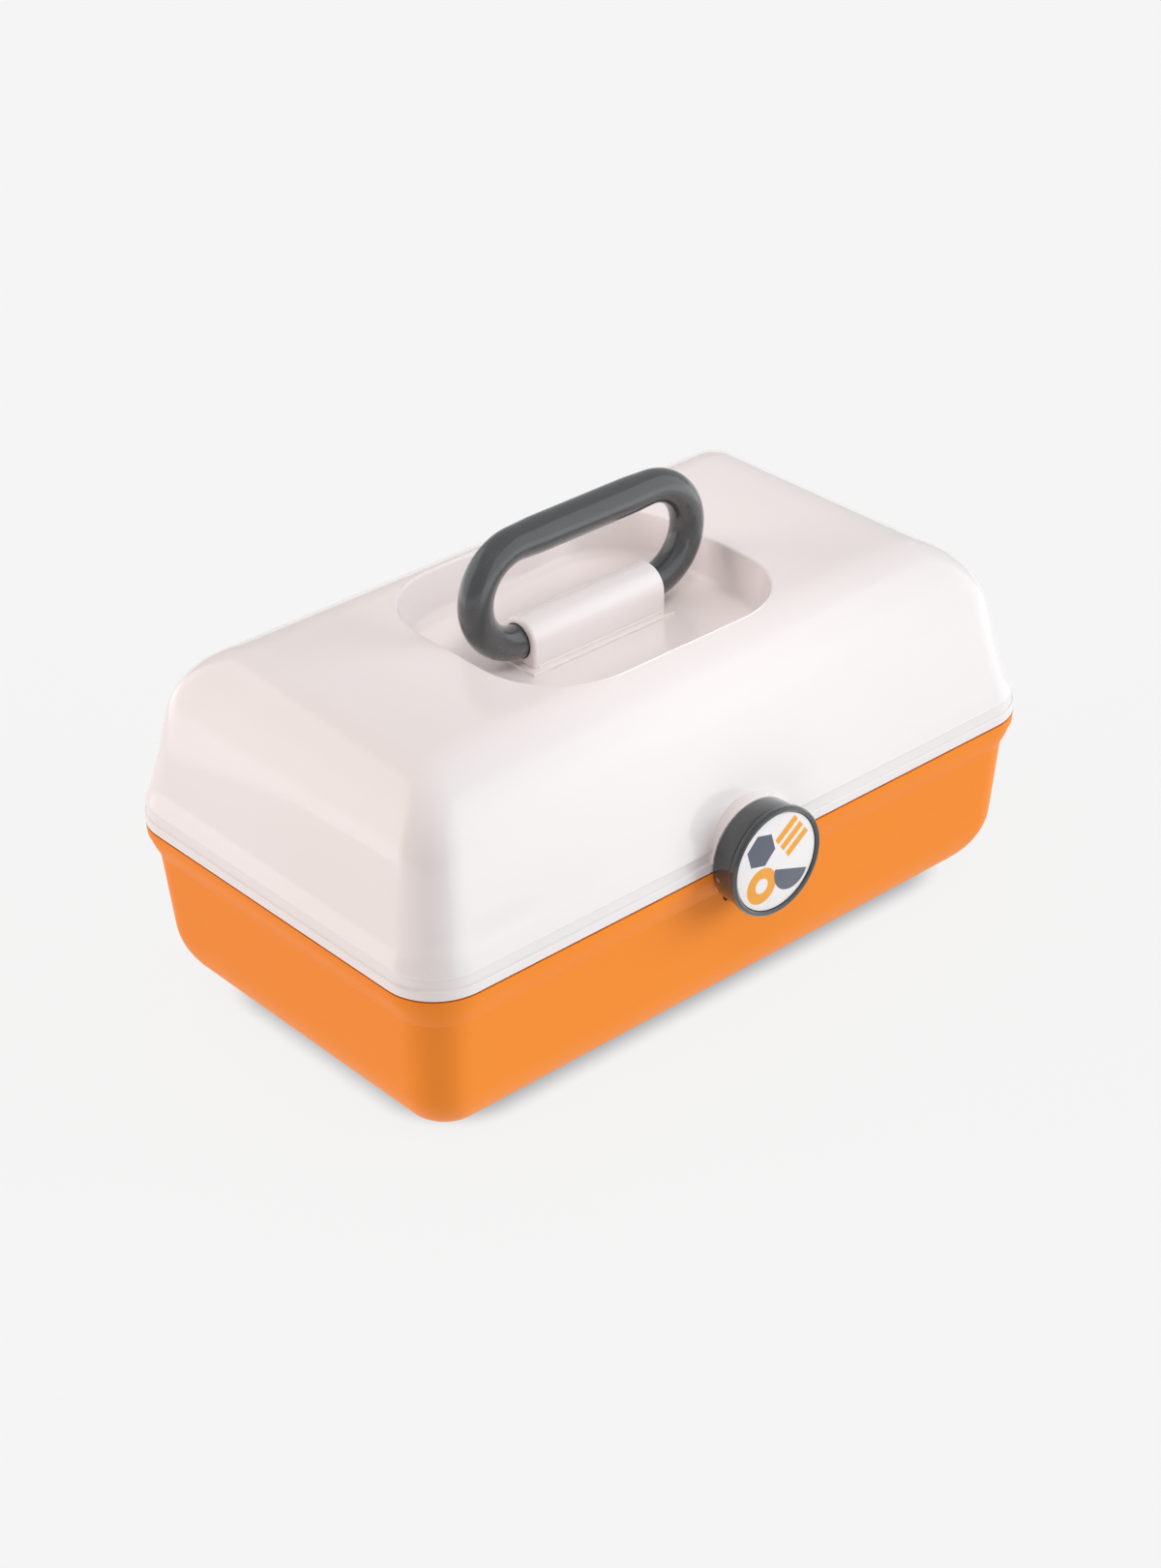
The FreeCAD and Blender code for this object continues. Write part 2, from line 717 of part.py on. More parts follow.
def saddle_screws():
    """Two screws up through the well's floor into the saddle."""
    screws = []
    for side, sign in (("left", "-"), ("right", "")):
        x = sign + "stub_gap / 2"
        under = WELL_FLOOR + " - wall"
        shank = rod("saddle_shank_" + side, "screw_radius", "screw_length - wall", x, "0", under, "Z")
        head = rod("saddle_head_" + side, "screw_head", "screw_radius", x, "0",
                   under + " - screw_radius", "Z")
        screws.append(fuse("saddle_screw_" + side, shank, head))
    return group("saddle_screws", *screws)


# ---- rear hinge --------------------------------------------------------------------------------
def hinge_pins():
    """One steel pin through each set of three knuckles."""
    pins = []
    for side, sign in (("left", "-"), ("right", "")):
        start = sign + "hinge_offset - 1.5 * knuckle_width - side_clear"
        pins.append(rod("hinge_pin_" + side, "hinge_pin_radius", "3 * knuckle_width + 2 * side_clear",
                        start, HINGE_Y, SEAM))
    return group("hinge_pins", *pins)


# ---- latch -------------------------------------------------------------------------------------
def latch_cup():
    """Hollow round knob: drafted side wall, groove, bezel and a recess for the face disc."""
    body = doc.addObject("PartDesign::Body", "latch_cup_turned")
    sketch = new_sketch(body, "latch_cup_profile", "XY_Plane")
    depth = "cup_depth"
    whole = "cup_depth + bezel_depth"
    floor = "cup_depth + bezel_depth - face_recess - face_thick"
    points = [
        ("cup_radius - cup_bevel", "0"),
        ("cup_radius", "cup_groove"),
        ("cup_radius + cup_flare", depth + " - cup_groove"),
        ("cup_radius - cup_bevel", depth + " - cup_bevel / 2"),
        ("cup_radius - cup_bevel", depth + " + cup_bevel / 2"),
        ("bezel_radius", depth + " + cup_groove"),
        ("bezel_radius", whole + " - bezel_bevel"),
        ("bezel_radius - bezel_bevel / 3", whole + " - bezel_bevel / 3"),
        ("bezel_radius - bezel_bevel", whole),
        ("bezel_radius - bezel_bevel - bezel_crest", whole),
        ("face_radius + face_clear", whole + " - cup_groove"),
        ("face_radius + face_clear", floor),
        ("0", floor),
        ("0", floor + " - cup_floor"),
        ("cup_radius - cup_wall", floor + " - cup_floor"),
        ("cup_radius - cup_wall", "0"),
    ]
    polygon(sketch, points)
    turned = body.newObject("PartDesign::Revolution", "latch_cup_revolution")
    turned.Profile = sketch
    turned.ReferenceAxis = (sketch, ["V_Axis"])
    turned.Angle = 360
    place(body, "0", CUP_BACK, "latch_height")
    body.Placement.Rotation = FreeCAD.Rotation(Vector(0, 0, 1), 180)
    relief = doc.addObject("Part::Box", "skirt_relief")
    relief.setExpression("Length", cells("4 * cup_radius"))
    relief.setExpression("Width", cells("2 * cup_radius"))
    relief.setExpression("Height", cells("8 * cup_radius"))
    relief.Placement.Rotation = FreeCAD.Rotation(Vector(-1, 0, 0), 1)
    relief.setExpression("Placement.Rotation.Angle", cells("latch_swing"))
    gap = "(rim_proud + latch_axis_forward + flange_inset)"
    y = LATCH_Y + " + %s * cos(latch_swing) - 4 * cup_radius * sin(latch_swing)" % gap
    z = "latch_axis_height - %s * sin(latch_swing) - 4 * cup_radius * cos(latch_swing)" % gap
    place(relief, "-2 * cup_radius", y, z)
    bores = []
    for name, y, z, radius in (("pivot", LATCH_Y, "latch_axis_height", "latch_pin_radius"),
                               ("catch", CATCH_Y, "catch_pin_height", "catch_pin_radius")):
        bores.append(rod("cup_bore_" + name, radius, "4 * cup_radius", "-2 * cup_radius", y, z))
    return cut("latch_cup", body, relief, *bores)


def latch_insert():
    """Flat disc that drops into the cup's recess and carries the printed design."""
    y = CUP_BACK + " - cup_depth - bezel_depth + face_recess"
    return rod("latch_insert", "face_radius", "face_thick", "0", y, "latch_height", "Y")


def pin_half(drop):
    """Half the length of a pin that ends flush in the cup's round wall."""
    return "sqrt(pow(cup_radius - cup_flare; 2) - pow(%s; 2))" % drop


def latch_pins():
    """The pin that the cup swings on, and the cross pin that snaps over the keeper."""
    half = pin_half("latch_height - latch_axis_height")
    pivot = rod("latch_pivot_pin", "latch_pin_radius", "2 * " + half, "-" + half, LATCH_Y,
                "latch_axis_height")
    half = pin_half("latch_height - catch_pin_height")
    catch = rod("latch_catch_pin", "catch_pin_radius", "2 * " + half, "-" + half, CATCH_Y,
                "catch_pin_height")
    return pivot, catch


# ---- tray and its linkage ----------------------------------------------------------------------
def plate(name, low_x, low_y, high_x, high_y, height, corner):
    """A flat body with four rounded upright corners, standing on its own zero."""
    body = doc.addObject("PartDesign::Body", name + "_body")
    sketch = new_sketch(body, name + "_outline", "XY_Plane")
    polygon(sketch, [(low_x, low_y), (high_x, low_y), (high_x, high_y), (low_x, high_y)])
    pad = body.newObject("PartDesign::Pad", name + "_pad")
    pad.Profile = sketch
    pad.setExpression("Length", cells(height))
    doc.recompute()
    upright = []
    for index, edge in enumerate(pad.Shape.Edges):
        bounds = edge.BoundBox
        if bounds.ZLength > bounds.XLength + bounds.YLength:
            upright.append("Edge%d" % (index + 1))
    corners = body.newObject("PartDesign::Fillet", name + "_corners")
    corners.Base = (pad, upright)
    corners.setExpression("Radius", cells(corner))
    body.Tip = corners
    return body


def tray_block(name, inset, floor, height):
    """The tray's rounded outline as a solid, drawn in by an inset."""
    half_x = "tray_length / 2 - " + inset
    half_y = "tray_width / 2 - " + inset
    corner = "tray_corner - " + inset
    body = plate(name, "-(%s)" % half_x, "-(%s)" % half_y, half_x, half_y, height, corner)
    return place(body, "0", "0", floor)


def tray():
    """One moulded tray with two fixed ribs, a lipstick rack and thick pivot bosses in its ends."""
    outer = tray_block("tray_outer", "0", "tray_floor", "tray_height")
    hollow = tray_block("tray_hollow", "tray_wall", "tray_floor + tray_wall", "tray_height")
    shell = cut("tray_shell", outer, hollow)
    adds = [shell]
    inner_width = "tray_width - 2 * tray_wall"
    rib_height = "tray_height - tray_wall - rib_drop"
    for side, sign in (("left", "-"), ("right", "")):
        adds.append(box("tray_rib_" + side, "tray_wall", inner_width, rib_height,
                        sign + "tray_length / 6", "0", "tray_floor + tray_wall"))
    adds.append(box("tray_rib_long", "tray_length / 3", "tray_wall", rib_height, "0", "tray_width / 8",
                    "tray_floor + tray_wall"))
    cuts = []
    boss_x = "tray_length / 2 - 2 * tray_wall"
    boss_length = "2 * tray_wall + link_gap / 2"
    crank = rod("tray_boss_crank", "tray_boss_radius", boss_length, boss_x, CRANK_Y, CRANK_Z)
    tip = rod("tray_boss_tip", "tray_boss_radius", boss_length, boss_x, ARM_TIP_Y, ARM_TIP_Z)
    adds += [crank, tip, mirrored("tray_boss_crank_left", crank), mirrored("tray_boss_tip_left", tip)]
    cuts.append(rod("tray_bore_crank", "link_pin_radius + run_clear", "case_length", "-case_length / 2",
                    CRANK_Y, CRANK_Z))
    cuts.append(rod("tray_bore_tip", "link_pin_radius + open_pivot_clear", "case_length", "-case_length / 2",
                    ARM_TIP_Y, ARM_TIP_Z))
    whole = fuse("tray_with_ribs", *adds)
    return cut("tray", whole, *cuts)


def tray_dividers():
    """Loose cross plates that stand in the tray's end compartments."""
    plates = []
    length = "tray_width - 2 * tray_wall - 2 * side_clear"
    height = "tray_height - tray_wall - divider_drop"
    for side, sign in (("left", "-"), ("right", "")):
        x = sign + "tray_length * 5 / 16"
        plates.append(box("tray_divider_" + side, "divider_thick", length, height, x, "0",
                          "tray_floor + tray_wall"))
    return group("tray_dividers", *plates)


def tray_arm():
    """Flat link between the base's boss and the tray's end, pinned at both ends."""
    body = doc.addObject("PartDesign::Body", "arm_link_body")
    sketch = new_sketch(body, "arm_link_profile", "YZ_Plane")
    length = "sqrt(pow(crank_reach; 2) + pow(crank_drop; 2))"
    polygon(sketch, [("0", "-arm_half_width"), (length, "-arm_half_width"), (length, "arm_half_width"),
                     ("0", "arm_half_width")])
    pad = body.newObject("PartDesign::Pad", "arm_link_pad")
    pad.Profile = sketch
    pad.setExpression("Length", cells("arm_thick"))
    doc.recompute()
    place(body, LINK_X, ARM_TIP_Y, ARM_TIP_Z)
    body.Placement.Rotation = FreeCAD.Rotation(Vector(1, 0, 0), 1)
    body.setExpression("Placement.Rotation.Angle", cells("atan(crank_drop / crank_reach)"))
    root = rod("arm_root", "arm_eye_radius", "arm_thick", LINK_X, "arm_pivot_y", "arm_pivot_height")
    tip = rod("arm_tip", "arm_half_width", "arm_thick", LINK_X, ARM_TIP_Y, ARM_TIP_Z)
    whole = fuse("arm_blank", body, root, tip)
    turning = rod("arm_bore_root", "link_pin_radius + run_clear", "3 * arm_thick", LINK_X + " - arm_thick",
                  "arm_pivot_y", "arm_pivot_height")
    fixed = rod("arm_bore_tip", "link_pin_radius", "3 * arm_thick", LINK_X + " - arm_thick",
                ARM_TIP_Y, ARM_TIP_Z)
    right = cut("arm_right", whole, turning, fixed)
    return right, mirrored("arm_left", right)


def headed_pin(name, start, length, head_at, y, z):
    """A link pin with a flat head, on the right, and its twin on the left."""
    shank = rod(name + "_shank", "link_pin_radius", length, start, y, z)
    head = rod(name + "_head", "pin_head_radius", "pin_head_thick", head_at, y, z)
    right = fuse(name + "_right", shank, head)
    return group(name, right, mirrored(name + "_left", right))


def link_pins():
    """The three pairs of pins of the linkage."""
    inside = "tray_length / 2 - 2 * tray_wall - pin_head_thick - side_clear / 2"
    reach = LINK_X + " + arm_thick - (" + inside + ")"
    lid_pins = headed_pin("tray_lid_pins", inside, reach, inside, CRANK_Y, CRANK_Z)
    tray_pins = headed_pin("tray_arm_pins", inside, reach, inside, ARM_TIP_Y, ARM_TIP_Z)
    far = "case_length / 2 - 3 * wall - flange_inset"
    pivot = rod("arm_pivot_pin_right", "link_pin_radius", "%s - (%s) + side_clear / 2" % (far, LINK_X),
                LINK_X + " - side_clear / 2", "arm_pivot_y", "arm_pivot_height")
    root_pins = group("arm_pivot_pins", pivot, mirrored("arm_pivot_pin_left", pivot))
    return lid_pins, tray_pins, root_pins


def tray_bracket():
    """Strap that hangs from the lid's end wall and carries the tray's rear pivot."""
    high = "seam_height + bracket_rise"
    strap_height = "bracket_rise + crank_drop"
    strap = box("bracket_strap", "arm_thick", "2 * arm_eye_radius", strap_height,
                LINK_X + " + arm_thick / 2", CRANK_Y, CRANK_Z)
    eye = rod("bracket_eye", "arm_eye_radius", "arm_thick", LINK_X, CRANK_Y, CRANK_Z)
    foot = box("bracket_foot", "arm_thick + bracket_block", "bracket_width", "bracket_width / 2",
               "(%s + %s) / 2" % (LINK_X, BRACKET_FACE), CRANK_Y, high + " - bracket_width / 2")
    whole = fuse("bracket_blank", strap, eye, foot)
    cuts = [rod("bracket_bore", "link_pin_radius", "3 * arm_thick", LINK_X + " - arm_thick", CRANK_Y,
                CRANK_Z)]
    screws = []
    for side, offset in (("front", "-bracket_width / 4"), ("rear", "bracket_width / 4")):
        y = CRANK_Y + " + " + offset
        depth = "screw_head - screw_radius"
        name = "bracket_screw_" + side
        hole = rod(name + "_hole", "screw_radius + side_clear / 2", "2 * bracket_block + arm_thick", LINK_X,
                   y, BRACKET_SCREW_Z)
        sink = cone(name + "_sink", "screw_radius", "screw_head", depth, LINK_X, y, BRACKET_SCREW_Z)
        cuts += [hole, sink]
        head = cone(name + "_head", "screw_radius", "screw_head", depth, LINK_X, y, BRACKET_SCREW_Z)
        shank = rod(name + "_shank", "screw_radius", "arm_thick + bracket_block + screw_bite", LINK_X, y,
                    BRACKET_SCREW_Z)
        screws.append(fuse(name, head, shank))
    right = cut("tray_bracket_right", whole, *cuts)
    left_screws = []
    for screw in screws:
        left_screws.append(mirrored(screw.Name + "_left", screw))
    return right, mirrored("tray_bracket_left", right), group("bracket_screws", *(screws + left_screws))


# ---- mirror ------------------------------------------------------------------------------------
def mirror_frame():
    """Shallow plastic frame with two hinge lugs on its rear edge and a finger tab in front."""
    rear = "mirror_axis_y - mirror_lug_radius - side_clear"
    front = rear + " - mirror_width"
    body = plate("mirror_plate", "-mirror_length / 2", front, "mirror_length / 2", rear, "mirror_thick",
                 "mirror_corner")
    place(body, "0", "0", "mirror_top - mirror_thick")
    middle_y = rear + " - mirror_width / 2"
    adds = [body]
    for side, sign in (("left", "-"), ("right", "")):
        x = sign + "mirror_lug_offset"
        name = "mirror_lug_" + side
        adds.append(rod(name, "mirror_lug_radius", "mirror_lug_width", x + " - mirror_lug_width / 2",
                        "mirror_axis_y", "mirror_top"))
        reach = "mirror_lug_radius + side_clear"
        adds.append(box(name + "_neck", "mirror_lug_width", reach + " + mirror_neck_bite",
                        "mirror_thick - 2 * mirror_neck_bevel", x,
                        "%s + (%s - mirror_neck_bite) / 2" % (rear, reach),
                        "mirror_top - mirror_thick + mirror_neck_bevel"))
    adds.append(box("mirror_tab", "mirror_border * 4", "mirror_border", "mirror_thick / 2", "0",
                    front + " - mirror_border / 2 + mirror_neck_bevel", "mirror_top - mirror_thick"))
    whole = fuse("mirror_frame_blank", *adds)
    recess = box("mirror_recess", "mirror_length - 2 * mirror_border", "mirror_width - 2 * mirror_border",
                 "glass_thick", "0", middle_y, "mirror_top - mirror_thick")
    bore = rod("mirror_bore", "mirror_pin_radius + run_clear", "mirror_length", "-mirror_length / 2",
               "mirror_axis_y", "mirror_top")
    return cut("mirror_frame", whole, recess, bore), middle_y


def mirror_glass(middle_y):
    """The silvered plate in the frame's recess."""
    gap = "2 * mirror_border - side_clear / 2"
    return box("mirror_glass", "mirror_length - " + gap, "mirror_width - " + gap,
               "glass_thick - 2 * run_clear", "0", middle_y, "mirror_top - mirror_thick + 2 * run_clear")


def mirror_pins():
    """Two short pins from the lid's ears into the frame's lugs."""
    length = "mirror_lug_width / 2 + side_clear + mirror_ear_width"
    right = rod("mirror_pin_right", "mirror_pin_radius", length + " - side_clear / 2", "mirror_lug_offset",
                "mirror_axis_y", "mirror_top")
    return group("mirror_pins", right, mirrored("mirror_pin_left", right))


# ---- build, check and write --------------------------------------------------------------------
def main():
    """Make every node, look at every object's state and write one file per node."""
    nodes = [base_shell(), lid_shell(), handle(), handle_saddle(), saddle_screws(), hinge_pins(),
             latch_cup(), latch_insert()]
    nodes += latch_pins()
    nodes += [tray(), tray_dividers()]
    nodes += tray_arm()
    nodes += link_pins()
    nodes += tray_bracket()
    frame, middle_y = mirror_frame()
    nodes += [frame, mirror_glass(middle_y), mirror_pins()]
    doc.recompute()
    for thing in doc.Objects:
        if "Invalid" in thing.State or "Error" in thing.State:
            raise RuntimeError("%s did not build: %s" % (thing.Name, thing.State))
    for node in nodes:
        node.Label = node.Name
        if node.Shape.isNull() or not node.Shape.isValid():
            raise RuntimeError("%s has no valid shape" % node.Name)
    for node in nodes:
        node.Shape.exportStep("parts/%s.step" % node.Name)
        bounds = node.Shape.BoundBox
        print("%-20s %d solid(s) %9.0f mm3  x %6.1f %6.1f  y %6.1f %6.1f  z %6.1f %6.1f" % (
            node.Name, len(node.Shape.Solids), node.Shape.Volume, bounds.XMin, bounds.XMax,
            bounds.YMin, bounds.YMax, bounds.ZMin, bounds.ZMax))


main()
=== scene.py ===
# %% [markdown]
# # Dressing a hard cosmetic case
# The case is two moulded shells on a rear hinge, with a bail handle in a well of the lid and a
# round snap latch in front. The pieces that turn and fit already exist at their real size. This
# file gives them their looks: smooth moulded shells, soft edges, finishes and studio light.
# Everything is in metres and in the frame of the finished case, +X along its length, -Y towards
# the latch and +Z up.

# %% Load the frame
import math

import bmesh
import bpy
from mathutils import Matrix, Vector


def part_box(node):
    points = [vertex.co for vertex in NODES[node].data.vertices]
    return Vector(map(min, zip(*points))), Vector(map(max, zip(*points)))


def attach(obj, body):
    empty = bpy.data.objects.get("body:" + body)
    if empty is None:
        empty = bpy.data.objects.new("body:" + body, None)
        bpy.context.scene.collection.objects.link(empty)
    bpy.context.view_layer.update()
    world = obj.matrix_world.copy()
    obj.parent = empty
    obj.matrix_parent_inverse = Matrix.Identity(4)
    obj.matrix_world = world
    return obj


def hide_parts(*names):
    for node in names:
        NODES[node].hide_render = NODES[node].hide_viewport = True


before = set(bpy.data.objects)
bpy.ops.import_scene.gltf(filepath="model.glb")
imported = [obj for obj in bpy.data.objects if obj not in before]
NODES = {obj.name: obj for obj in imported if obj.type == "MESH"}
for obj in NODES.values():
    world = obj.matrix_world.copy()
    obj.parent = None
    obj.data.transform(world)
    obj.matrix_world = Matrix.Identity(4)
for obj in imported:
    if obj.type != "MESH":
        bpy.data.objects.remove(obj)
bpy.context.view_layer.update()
MM = 0.001
X_AXIS = Vector((1, 0, 0))
Y_AXIS = Vector((0, 1, 0))


def add_object(name, data):
    """A new object in the scene."""
    thing = bpy.data.objects.new(name, data)
    bpy.context.scene.collection.objects.link(thing)
    return thing


# %% [markdown]
# ## The camera
# The picture is taken from the front left, about 31 degrees above the table, from so far away
# that the long edges hardly converge. A long lens does that. The lens is counted on the
# picture's height, so that the frame stays the same for any number of pixels. The two small
# shifts slide the picture without turning the camera.

# %% The camera
PICTURE_HEIGHT = 1620
TURN = math.radians(-40.611)
LIFT = math.radians(31.334)
ROLL = math.radians(-1.547)
DISTANCE = 1423.0 * MM
PIXELS_PER_MM = 2.408
SLIDE_RIGHT = 9.21
SLIDE_UP = 1.90
AIM = Vector((0, 0, 70 * MM))
SENSOR = 36.0


def make_camera():
    """A camera on a sphere around the aim point, rolled about its own line of sight."""
    back = Vector((math.sin(TURN) * math.cos(LIFT), -math.cos(TURN) * math.cos(LIFT), math.sin(LIFT)))
    right = Vector((math.cos(TURN), math.sin(TURN), 0))
    up = back.cross(right)
    rolled_right = math.cos(ROLL) * right + math.sin(ROLL) * up
    rolled_up = math.cos(ROLL) * up - math.sin(ROLL) * right
    data = bpy.data.cameras.new("camera")
    data.sensor_fit = "VERTICAL"
    data.sensor_height = SENSOR
    data.lens = PIXELS_PER_MM / MM * DISTANCE * SENSOR / PICTURE_HEIGHT
    data.shift_x = -SLIDE_RIGHT / PICTURE_HEIGHT
    data.shift_y = -SLIDE_UP / PICTURE_HEIGHT
    data.clip_end = 50
    camera = add_object("camera", data)
    turn = Matrix((rolled_right, rolled_up, back)).transposed().to_4x4()
    camera.matrix_world = Matrix.Translation(AIM + back * DISTANCE) @ turn
    bpy.context.scene.camera = camera
    return camera


camera = make_camera()
print("lens in mm:", round(camera.data.lens, 1))

# %% [markdown]
# ## Writing materials as sums
# A finish is a small calculation: noise times a strength, added to a roughness. It reads best
# when it is written as one. `Link` wraps a node's output and turns `+`, `-` and `*` into
# Math nodes, and `Nodes.add` makes any other node. Numbers alone stay plain Python. A Mix node
# has a set of sockets for each kind of data, all of the same names, so its colours go by number.


# %% A wrapped socket
class Link:
    """A node's output that can be used in a sum."""

    def __init__(self, nodes, socket):
        self.nodes = nodes
        self.socket = socket

    def math(self, operation, *values):
        inputs = dict(enumerate((self,) + values))
        return self.nodes.add("ShaderNodeMath", inputs, operation=operation)

    def __add__(self, other):
        return self.math("ADD", other)

    def __sub__(self, other):
        return self.math("SUBTRACT", other)

    def __mul__(self, other):
        return self.math("MULTIPLY", other)

    def __rsub__(self, other):
        return self.nodes.add("ShaderNodeMath", {0: other, 1: self}, operation="SUBTRACT")

    __radd__ = __add__
    __rmul__ = __mul__

    def larger(self, other):
        return self.math("MAXIMUM", other)

    def size(self):
        return self.math("ABSOLUTE")


# %% A wrapped node tree and a wrapped material
MIX_FIRST = 6  # input sockets of the two colours
MIX_SECOND = 7
MIX_RESULT = 2  # output socket of the mixed colour


class Nodes:
    """A node tree that sums can be written in."""

    def __init__(self, tree):
        self.tree = tree

    def feed(self, socket, value):
        if isinstance(value, Link):
            self.tree.links.new(value.socket, socket)
        else:
            socket.default_value = value

    def add(self, kind, inputs=None, out=0, **settings):
        node = self.tree.nodes.new(kind)
        for name, value in settings.items():
            setattr(node, name, value)
        for key, value in (inputs or {}).items():
            self.feed(node.inputs[key], value)
        return Link(self, node.outputs[out])


class Finish(Nodes):
    """One material and its node tree."""

    def __init__(self, name, **constants):
        self.material = bpy.data.materials.new(name)
        self.material.use_nodes = True
        super().__init__(self.material.node_tree)
        self.shader = self.tree.nodes["Principled BSDF"]
        for words, value in constants.items():
            self.set(words.replace("_", " ").title().replace("Ior", "IOR"), value)

    def set(self, socket_name, value):
        self.feed(self.shader.inputs[socket_name], value)

    def place(self):
        return self.add("ShaderNodeTexCoord", out="Object")

    def along(self, axis):
        """The distance from the origin along X, Y or Z."""
        return self.add("ShaderNodeSeparateXYZ", {0: self.place()}, out=axis)

    def noise(self, scale, detail=2.0, roughness=0.5):
        """Soft noise around 0.5, scale in lumps per metre."""
        inputs = {"Vector": self.place(), "Scale": scale, "Detail": detail, "Roughness": roughness}
        return self.add("ShaderNodeTexNoise", inputs, out="Fac")

    def step(self, value, low, high):
        """0 below low, 1 above high, smooth between."""
        inputs = {"Value": value, "From Min": low, "From Max": high}
        return self.add("ShaderNodeMapRange", inputs, interpolation_type="SMOOTHSTEP")

    def mix(self, share, first, second):
        """A colour between two colours."""
        inputs = {0: share, MIX_FIRST: first, MIX_SECOND: second}
        return self.add("ShaderNodeMix", inputs, out=MIX_RESULT, data_type="RGBA")

    def bump(self, height, strength, distance):
        inputs = {"Height": height, "Strength": strength, "Distance": distance}
        self.set("Normal", self.add("ShaderNodeBump", inputs))


# %% [markdown]
# ## Moulded plastic
# All the shells are injection moulded. Such plastic is never one flat colour: the colour and the
# gloss drift over a hand's width, and there are faint rubbed spots. The shells are smooth and
# have no bumps. The handle and the latch have a very low orange peel as well, and the tray a fine
# grain. One function makes every plastic of the case, and only its numbers change. A clear coat
# gives the white, the slate and the print their sharp gloss. The orange has none: it is softer
# and hardly mirrors.

# %% One recipe for every plastic
PEEL_LUMPS = 420.0
GRAIN_LUMPS = 2600.0
DRIFT_LUMPS = 9.0
RUB_LUMPS = 54.0
DRIFT_GLOSS = 0.08
RUB_GLOSS = 0.05
PEEL_HEIGHT = 0.4 * MM


def plastic(name, colour, deep, gloss, peel=0.0, grain=0.0, coat=0.25, shine=0.5, glaze=0.08):
    """Moulded plastic: a colour that drifts to a deeper one, and a gloss that drifts too."""
    finish = Finish(name, coat_weight=coat, coat_roughness=glaze, ior=1.49)
    finish.set("Specular IOR Level", shine)
    drift = finish.noise(DRIFT_LUMPS, detail=3.0)
    finish.set("Base Color", finish.mix(finish.step(drift, 0.35, 0.7), colour, deep))
    rubbed = finish.step(finish.noise(RUB_LUMPS, detail=6.0, roughness=0.65), 0.5, 0.75)
    finish.set("Roughness", gloss + (drift - 0.5) * DRIFT_GLOSS + rubbed * RUB_GLOSS)
    if peel or grain:
        orange_peel = finish.noise(PEEL_LUMPS, detail=1.0) * peel
        fine_grain = finish.noise(GRAIN_LUMPS, detail=2.0) * grain
        finish.bump(orange_peel + fine_grain, 0.5, PEEL_HEIGHT)
    return finish.material


pearl = plastic("pearl_plastic", (0.87, 0.785, 0.77, 1), (0.86, 0.77, 0.755, 1),
                gloss=0.20, coat=0.8, glaze=0.04)
orange = plastic("orange_plastic", (0.945, 0.268, 0.030, 1), (0.935, 0.258, 0.028, 1),
                 gloss=0.42, coat=0.0, shine=0.08)
slate = plastic("slate_plastic", (0.045, 0.049, 0.051, 1), (0.041, 0.045, 0.047, 1),
                gloss=0.26, peel=0.02, grain=0.01, coat=0.9)
milky = plastic("milky_plastic", (0.83, 0.80, 0.78, 1), (0.81, 0.775, 0.755, 1),
                gloss=0.42, grain=0.03)
print("plastics:", pearl.name, orange.name, slate.name, milky.name)

# %% [markdown]
# ## Steel, dark steel and mirror
# Pins and screws are drawn steel. Their scratches run round the pin, but on parts of three
# millimetres a fine noise reads the same from every side. The mirror is clean silvered acrylic:
# nearly no roughness, and a trace of waviness as thin acrylic has.

# %% Metals
STREAK_LUMPS = 1800.0
STREAK_DARK = 0.8
WAVE_LUMPS = 25.0


def steel(name, colour, gloss):
    """Drawn wire and turned heads: fine streaks in the gloss."""
    finish = Finish(name, metallic=1.0)
    streaks = finish.noise(STREAK_LUMPS, detail=4.0)
    darker = [part * STREAK_DARK for part in colour[:3]] + [1]
    finish.set("Base Color", finish.mix(streaks, colour, darker))
    finish.set("Roughness", gloss + streaks * 0.15)
    finish.bump(streaks, 0.1, 0.05 * MM)
    return finish.material


def mirror_silver():
    """Silvered acrylic behind a clear face."""
    finish = Finish("mirror_silver", metallic=1.0)
    waves = finish.noise(WAVE_LUMPS, detail=1.0)
    finish.set("Base Color", finish.mix(waves, (0.88, 0.90, 0.90, 1), (0.84, 0.86, 0.87, 1)))
    finish.set("Roughness", 0.015 + waves * 0.02)
    finish.bump(waves, 0.05, 0.1 * MM)
    return finish.material


bright_steel = steel("bright_steel", (0.62, 0.63, 0.65, 1), 0.22)
dark_steel = steel("dark_steel", (0.10, 0.10, 0.11, 1), 0.35)
silver = mirror_silver()
print("metals:", bright_steel.name, dark_steel.name, silver.name)

# %% [markdown]
# ## Turning a bmesh into a piece
# Every modelled piece ends the same way: normals outwards, smooth faces with the really sharp
# edges kept, one material, the body that it rides on, and the node that it stands for.

# %% Finishing a piece
SMOOTH_BELOW = math.radians(32)
MERGE = 1e-6


def heal(bm):
    """Merge double points and turn every face outwards."""
    bmesh.ops.remove_doubles(bm, verts=bm.verts, dist=MERGE)
    bmesh.ops.recalc_face_normals(bm, faces=bm.faces)


def to_mesh(bm, name):
    """A mesh of what a bmesh holds."""
    mesh = bpy.data.meshes.new(name)
    bm.to_mesh(mesh)
    bm.free()
    return mesh


def smooth(mesh):
    mesh.shade_smooth()
    mesh.set_sharp_from_angle(angle=SMOOTH_BELOW)


def make_piece(bm, name, body, material, node):
    """An object in the frame that rides on its body and stands for a node."""
    heal(bm)
    mesh = to_mesh(bm, name)
    smooth(mesh)
    mesh.materials.append(material)
    piece = add_object(name, mesh)
    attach(piece, body)
    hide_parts(node)
    print("%-22s %6d faces" % (name, len(mesh.polygons)))
    return piece


